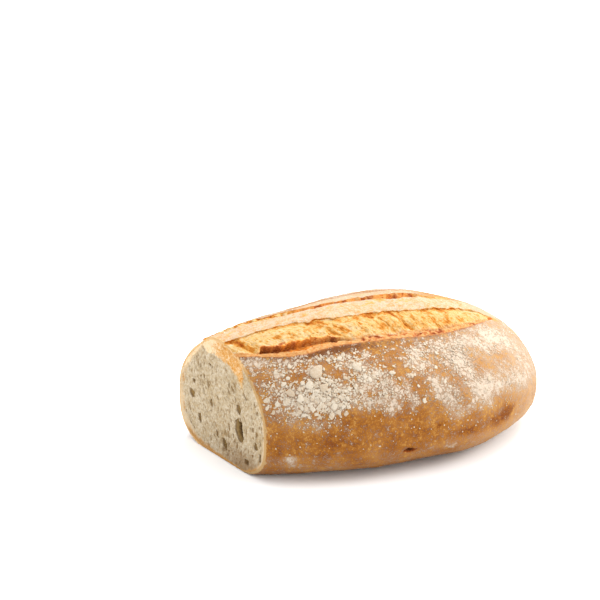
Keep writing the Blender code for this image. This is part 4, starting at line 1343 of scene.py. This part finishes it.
# The cream rim, and its tone for stains and for painted shade near the floor.
EDGE_CREAM, EDGE_STAIN_AND_SHADE = tone(250, 220, 178), tone(220, 162, 92)
GOLDEN_SEAM = tone(248, 202, 132)
BAND_PALE, BAND_GOLD, BAND_FLECKS = tone(282, 250, 204), tone(252, 186, 100), tone(222, 134, 50)

FLAKE_WHITE, FLAKE_CREAM = tone(242, 228, 206), tone(222, 198, 168)


def crust_material():
    """Golden to brown crust, mottled, with flour that lies in crusts, streaks, films and specks; a painted
    highlight on the rim at the cut over its top, and painted shade in the crack.
    """
    bench = Bench("floured_crust")
    where = bench.place()
    broad, patchy, mottle, fine, speck = (bench.noise(where, size) for size in (14, 6.5, 3.0, 1.4, 0.7))
    brushed = bench.noise(bench.stretched(where, (0.5, 0.35, 0.2), (1.0, 1.0, 0.3)), 3.0)
    crooked = bench.wandering(where, 1.8, 1.8)
    edge = bench.cells(crooked, 2.6, "DISTANCE_TO_EDGE")
    lot = bench.lots(crooked, 2.6)
    flour, haze, bake, specks, torn, strip, lip, crack, rim, chunks, band = bench.read(
        "flour haze bake specks torn strip lip crack rim chunks band"
    )
    baked = bake + 0.20 * broad + 0.12 * patchy + 0.24 * mottle + 0.22 * fine + 0.20 * speck
    colour = bench.mix(baked.step(0.0, 0.75), CRUST_PALE, CRUST_BROWN)
    colour = bench.mix(baked.step(0.65, 1.35), colour, CRUST_DARK)
    film = haze + 0.14 * patchy + 0.18 * mottle + 0.24 * fine + 0.22 * speck
    colour = bench.mix(film.step(0.1, 1.1) * 0.62, colour, FLOUR_FILM)
    cover = flour + 0.14 * patchy + 0.12 * brushed + 0.18 * mottle + 0.22 * fine + 0.16 * speck
    cover = cover + chunks * (0.60 * (lot - 0.5) - 0.50 * (1 - edge.step(0.02, 0.18)))
    soft = 1 - chunks
    dusted = cover.step(0.28 - 0.22 * soft, 0.58 + 0.37 * soft)
    veil = flour + 0.14 * patchy + 0.14 * brushed + 0.14 * mottle + 0.10 * fine - 0.22 * chunks
    colour = bench.mix(veil.step(0.0, 0.85) * 0.65, colour, FLOUR_VEIL)
    singed = specks + 0.20 * fine + 0.20 * mottle + 0.15 * speck
    colour = bench.mix(singed.step(0.1, 0.9) * 0.85, colour, SINGED)
    powder = bench.mix(cover.step(0.35, 0.95), FLOUR_THIN, FLOUR_THICK)
    colour = bench.mix(dusted * 0.92, colour, powder)
    uneven = 0.50 + 0.25 * patchy + 0.36 * fine + 0.30 * mottle + 0.18 * speck
    cream = bench.mix(uneven.step(0.0, 1.2), STRIP_CREAM, STRIP_BAKED)
    colour = bench.mix(strip * 0.94, colour, cream)
    toast = torn + (0.20 * mottle + 0.22 * fine) * (torn * 4.0).least(1.0)
    toasted = bench.mix(toast.step(0.5, 1.1), WALL_GOLD, WALL_ORANGE)
    colour = bench.mix(toast.step(0.1, 0.5), colour, toasted)
    colour = bench.mix((lip + 0.2 * mottle).step(0.3, 1.1) * 0.8, colour, LIP_EDGE)
    # The rim's tone, with a painted highlight over its top and back.
    rim_tone = bench.mix(band, RIM_ROUND, RIM_PAINTED_HIGHLIGHT)
    colour = bench.mix((rim + 0.15 * mottle + 0.15 * fine).step(0.2, 0.8) * 0.88, colour, rim_tone)
    colour = bench.mix(crack.step(0.02, 0.3), colour, CRACK_SIDE)
    # Painted shade in the heart of the crack.
    colour = bench.mix((crack + 0.2 * fine).step(0.35, 0.8), colour, CRACK_PAINTED_SHADE)
    height = dusted * (0.4 + 0.3 * chunks * edge.step(0.0, 0.2))
    height = height + mottle * 0.08 + fine * 0.09 + speck * 0.04
    return bench.finish(colour, 0.75 + 0.2 * dusted, height, 1.0, 0.6)


def torn_material():
    """Torn dough baked in the open slash: pale gold, orange on its edges, red-brown in the hollow."""
    bench = Bench("torn_crumb")
    where = bench.place()
    strand, strand_across, toast, ledge, hollow, groove, burnt = bench.read(
        "strand strand_across toast ledge hollow groove burnt"
    )
    # The strand is in millimetres already, so that 900 here makes grains of 0.9.
    strands = bench.noise(bench.vector(strand, strand_across * 0.2, 0.0), 900.0, 4)
    mottle, patchy, fine = (bench.noise(where, size, 4) for size in (2.6, 6.0, 1.1))
    level = toast + 0.16 * mottle + 0.18 * strands + 0.18 * fine + 0.10 * patchy
    colour = bench.mix(level.step(-0.35, 0.3), TORN_CREAM, TORN_GOLD)
    colour = bench.mix(level.step(0.15, 0.55), colour, TORN_ORANGE)
    colour = bench.mix(level.step(0.6, 1.15), colour, TORN_BROWN)
    bare = bench.mix((0.5 + 0.22 * mottle + 0.22 * fine).step(0.1, 1.0), LEDGE_PALE, LEDGE_ORANGE)
    colour = bench.mix(ledge, colour, bare)
    deep = bench.mix((hollow + 0.22 * mottle + 0.22 * fine).step(0.1, 1.1), HOLLOW_PALE, HOLLOW_ORANGE)
    colour = bench.mix((hollow * 2.5).least(1.0), colour, deep)
    line = (groove + 0.25 * mottle + 0.15 * fine).step(0.5, 1.2)
    colour = bench.mix(line * 0.7, colour, GROOVE_LINE)
    spots = burnt + 0.14 * mottle + 0.14 * fine
    colour = bench.mix(spots.step(0.15, 0.5) * 0.8, colour, BURNT_RED)
    colour = bench.mix(spots.step(0.45, 1.0) * 0.85, colour, BURNT_DARK)
    height = strands * 0.12 + fine * 0.08 + mottle * 0.08
    return bench.finish(colour, 0.8, height, 1.0, 0.5)


def crumb_material():
    """Greyish cream crumb, darker and warmer with painted shade down in its pits, pores and holes and with
    painted shadow at its foot, yellow towards the crust.
    """
    bench = Bench("open_crumb")
    where = bench.place()
    broad = bench.noise(where, 12)
    mottle, fine = (bench.noise(where, size, 4) for size in (2.0, 0.9))
    leaning = bench.stretched(bench.wandering(where, 1.5, 0.9), (0.25, 0.0, 0.0), (1.0, 1.0, 0.5))
    pits = bench.cells(leaning, 1.1)
    small_pits = bench.cells(where, 0.6)
    depth, rim, golden, stain, shade, band, gold = bench.read("depth rim golden stain shade band gold")
    level = 0.5 + 0.16 * broad + 0.22 * mottle + 0.22 * fine
    colour = bench.mix(level.step(0.0, 1.0), CRUMB_LIGHT, CRUMB_DULL)
    # Painted shade: dark dots for small pits, and darker with depth down pores and holes, golden up the
    # walls and dark in the heart.
    colour = bench.mix((1 - pits.step(0.1, 0.5)) * 0.42, colour, PIT_PAINTED_SHADE)
    colour = bench.mix(depth.step(0.05, 0.7) * 0.7, colour, PORE_PAINTED_SHADE)
    wall = bench.mix((depth + 0.4 * mottle).step(1.4, 4.2), HOLE_WALL, HOLE_PAINTED_SHADE)
    colour = bench.mix(depth.step(0.8, 2.0) * 0.85, colour, wall)
    # Painted shadow towards the foot of the cut.
    colour = bench.mix((shade + 0.12 * mottle).step(0.0, 1.0) * 0.75, colour, FOOT_SHADE)
    # The cream rim, browned by real stains and by painted shade near the floor.
    cream = bench.mix((stain + 0.12 * mottle).step(0.2, 0.8), EDGE_CREAM, EDGE_STAIN_AND_SHADE)
    colour = bench.mix((rim + 0.12 * mottle + 0.1 * fine).step(0.2, 0.9) * 0.9, colour, cream)
    seam = (golden + 0.14 * mottle + 0.14 * fine).step(0.0, 1.2)
    colour = bench.mix(seam * 0.8, colour, GOLDEN_SEAM)
    browned = bench.mix((gold + 0.35 * mottle + 0.40 * fine).step(0.0, 1.3), BAND_PALE, BAND_GOLD)
    flecks = (0.30 * mottle + 0.30 * fine + 0.35 * gold).step(0.45, 0.95)
    browned = bench.mix(flecks * 0.6, browned, BAND_FLECKS)
    colour = bench.mix((band + 0.22 * fine + 0.12 * mottle).step(0.15, 0.85) * 0.94, colour, browned)
    height = pits.step(0.0, 0.5) * 0.5 + small_pits * 0.35 + mottle * 0.08
    return bench.finish(colour, 0.9, height, 0.9, 0.4)


def flour_material():
    """Cream flour, each flake of its own shade, with a powdery surface."""
    bench = Bench("flour_flakes")
    fine = bench.noise(bench.place(), 0.7)
    (shade,) = bench.read("shade")
    colour = bench.mix((shade * 0.8 + 0.3 * fine).step(0.0, 1.0), FLAKE_WHITE, FLAKE_CREAM)
    return bench.finish(colour, 0.95, fine, 0.6, 0.06)


# Room and camera.

# The lights: name, energy, size, place.
LIGHTS = (
    ("high_soft_light", 21, 1.1, (0.75, 0.6, 1.4)),
    ("side_soft_light", 7, 0.7, (1.1, -0.75, 0.9)),
)
WORLD_STRENGTH = 0.8
FLOOR_SIZE, FLOOR_DROP, FLOOR_TONE = 14, 0.0003, 0.9
LENS, SENSOR, PICTURE = 100, 36, 600
CAMERA_TURN, CAMERA_TILT, CAMERA_DISTANCE = -29.208, 18.804, 928.2
# Where the foot of the cut falls in the picture, in pixels from the left and from the top.
CUT_FOOT_PIXEL = (228.15, 462.23)


def room():
    """A white floor, a white room all round, and two soft lights above."""
    bpy.ops.mesh.primitive_plane_add(size=FLOOR_SIZE, location=(0, 0, -FLOOR_DROP))
    floor = bpy.context.object
    floor.name = "floor"
    bench = Bench("white_floor")
    bench.shader.inputs["Base Color"].default_value = (FLOOR_TONE, FLOOR_TONE, FLOOR_TONE, 1)
    bench.shader.inputs["Roughness"].default_value = 1.0
    bench.shader.inputs["Specular IOR Level"].default_value = 0.0
    floor.data.materials.append(bench.material)
    world = bpy.data.worlds.new("white_room")
    world.use_nodes = True
    background = world.node_tree.nodes["Background"]
    background.inputs["Color"].default_value = (1, 1, 1, 1)
    background.inputs["Strength"].default_value = WORLD_STRENGTH / ALBEDO
    bpy.context.scene.world = world
    for name, energy, size, place in LIGHTS:
        data = bpy.data.lights.new(name, "AREA")
        data.energy, data.size = energy / ALBEDO, size
        light = bpy.data.objects.new(name, data)
        bpy.context.scene.collection.objects.link(light)
        back = unit(np.array(place))
        right = unit(np.cross((0, 0, 1), back))
        aim(light, right, np.cross(back, right), back, np.array(place))


def aim(obj, right, up, back, place):
    """Put an object at a place with its axes along right, up and back."""
    matrix = Matrix.Identity(4)
    for column, axis in enumerate((right, up, back, place)):
        for row in range(3):
            matrix[row][column] = axis[row]
    obj.matrix_world = matrix


def camera():
    """A long lens 29 degrees off the flank and 19 up, placed so that the cut's foot falls at its pixel."""
    focal = PICTURE * LENS / SENSOR
    turn, tilt = math.radians(CAMERA_TURN), math.radians(CAMERA_TILT)
    back = np.array([math.sin(turn) * math.cos(tilt), -math.cos(turn) * math.cos(tilt), math.sin(tilt)])
    right = np.array([math.cos(turn), math.sin(turn), 0])
    up = np.cross(back, right)
    shift = right * (PICTURE / 2 - CUT_FOOT_PIXEL[0]) + up * (CUT_FOOT_PIXEL[1] - PICTURE / 2)
    place = (back * CAMERA_DISTANCE + shift * CAMERA_DISTANCE / focal - MIDDLE) * MM
    data = bpy.data.cameras.new("camera")
    data.lens, data.sensor_width = LENS, SENSOR
    obj = bpy.data.objects.new("camera", data)
    bpy.context.scene.collection.objects.link(obj)
    aim(obj, right, up, back, place)
    bpy.context.scene.camera = obj


def wear(material, *pieces):
    """Give the pieces that material."""
    for obj in pieces:
        obj.data.materials.append(material)


camera()
crust = build_crust()
wide_tear = build_wide_tear()
narrow_tear = build_narrow_tear()
crumb = build_crumb()
flour_pieces = build_flour()
wear(torn_material(), wide_tear, narrow_tear)
wear(flour_material(), *flour_pieces)
wear(crust_material(), crust)
wear(crumb_material(), crumb)
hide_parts("loaf")
room()
bpy.context.scene.view_settings.view_transform = "Standard"
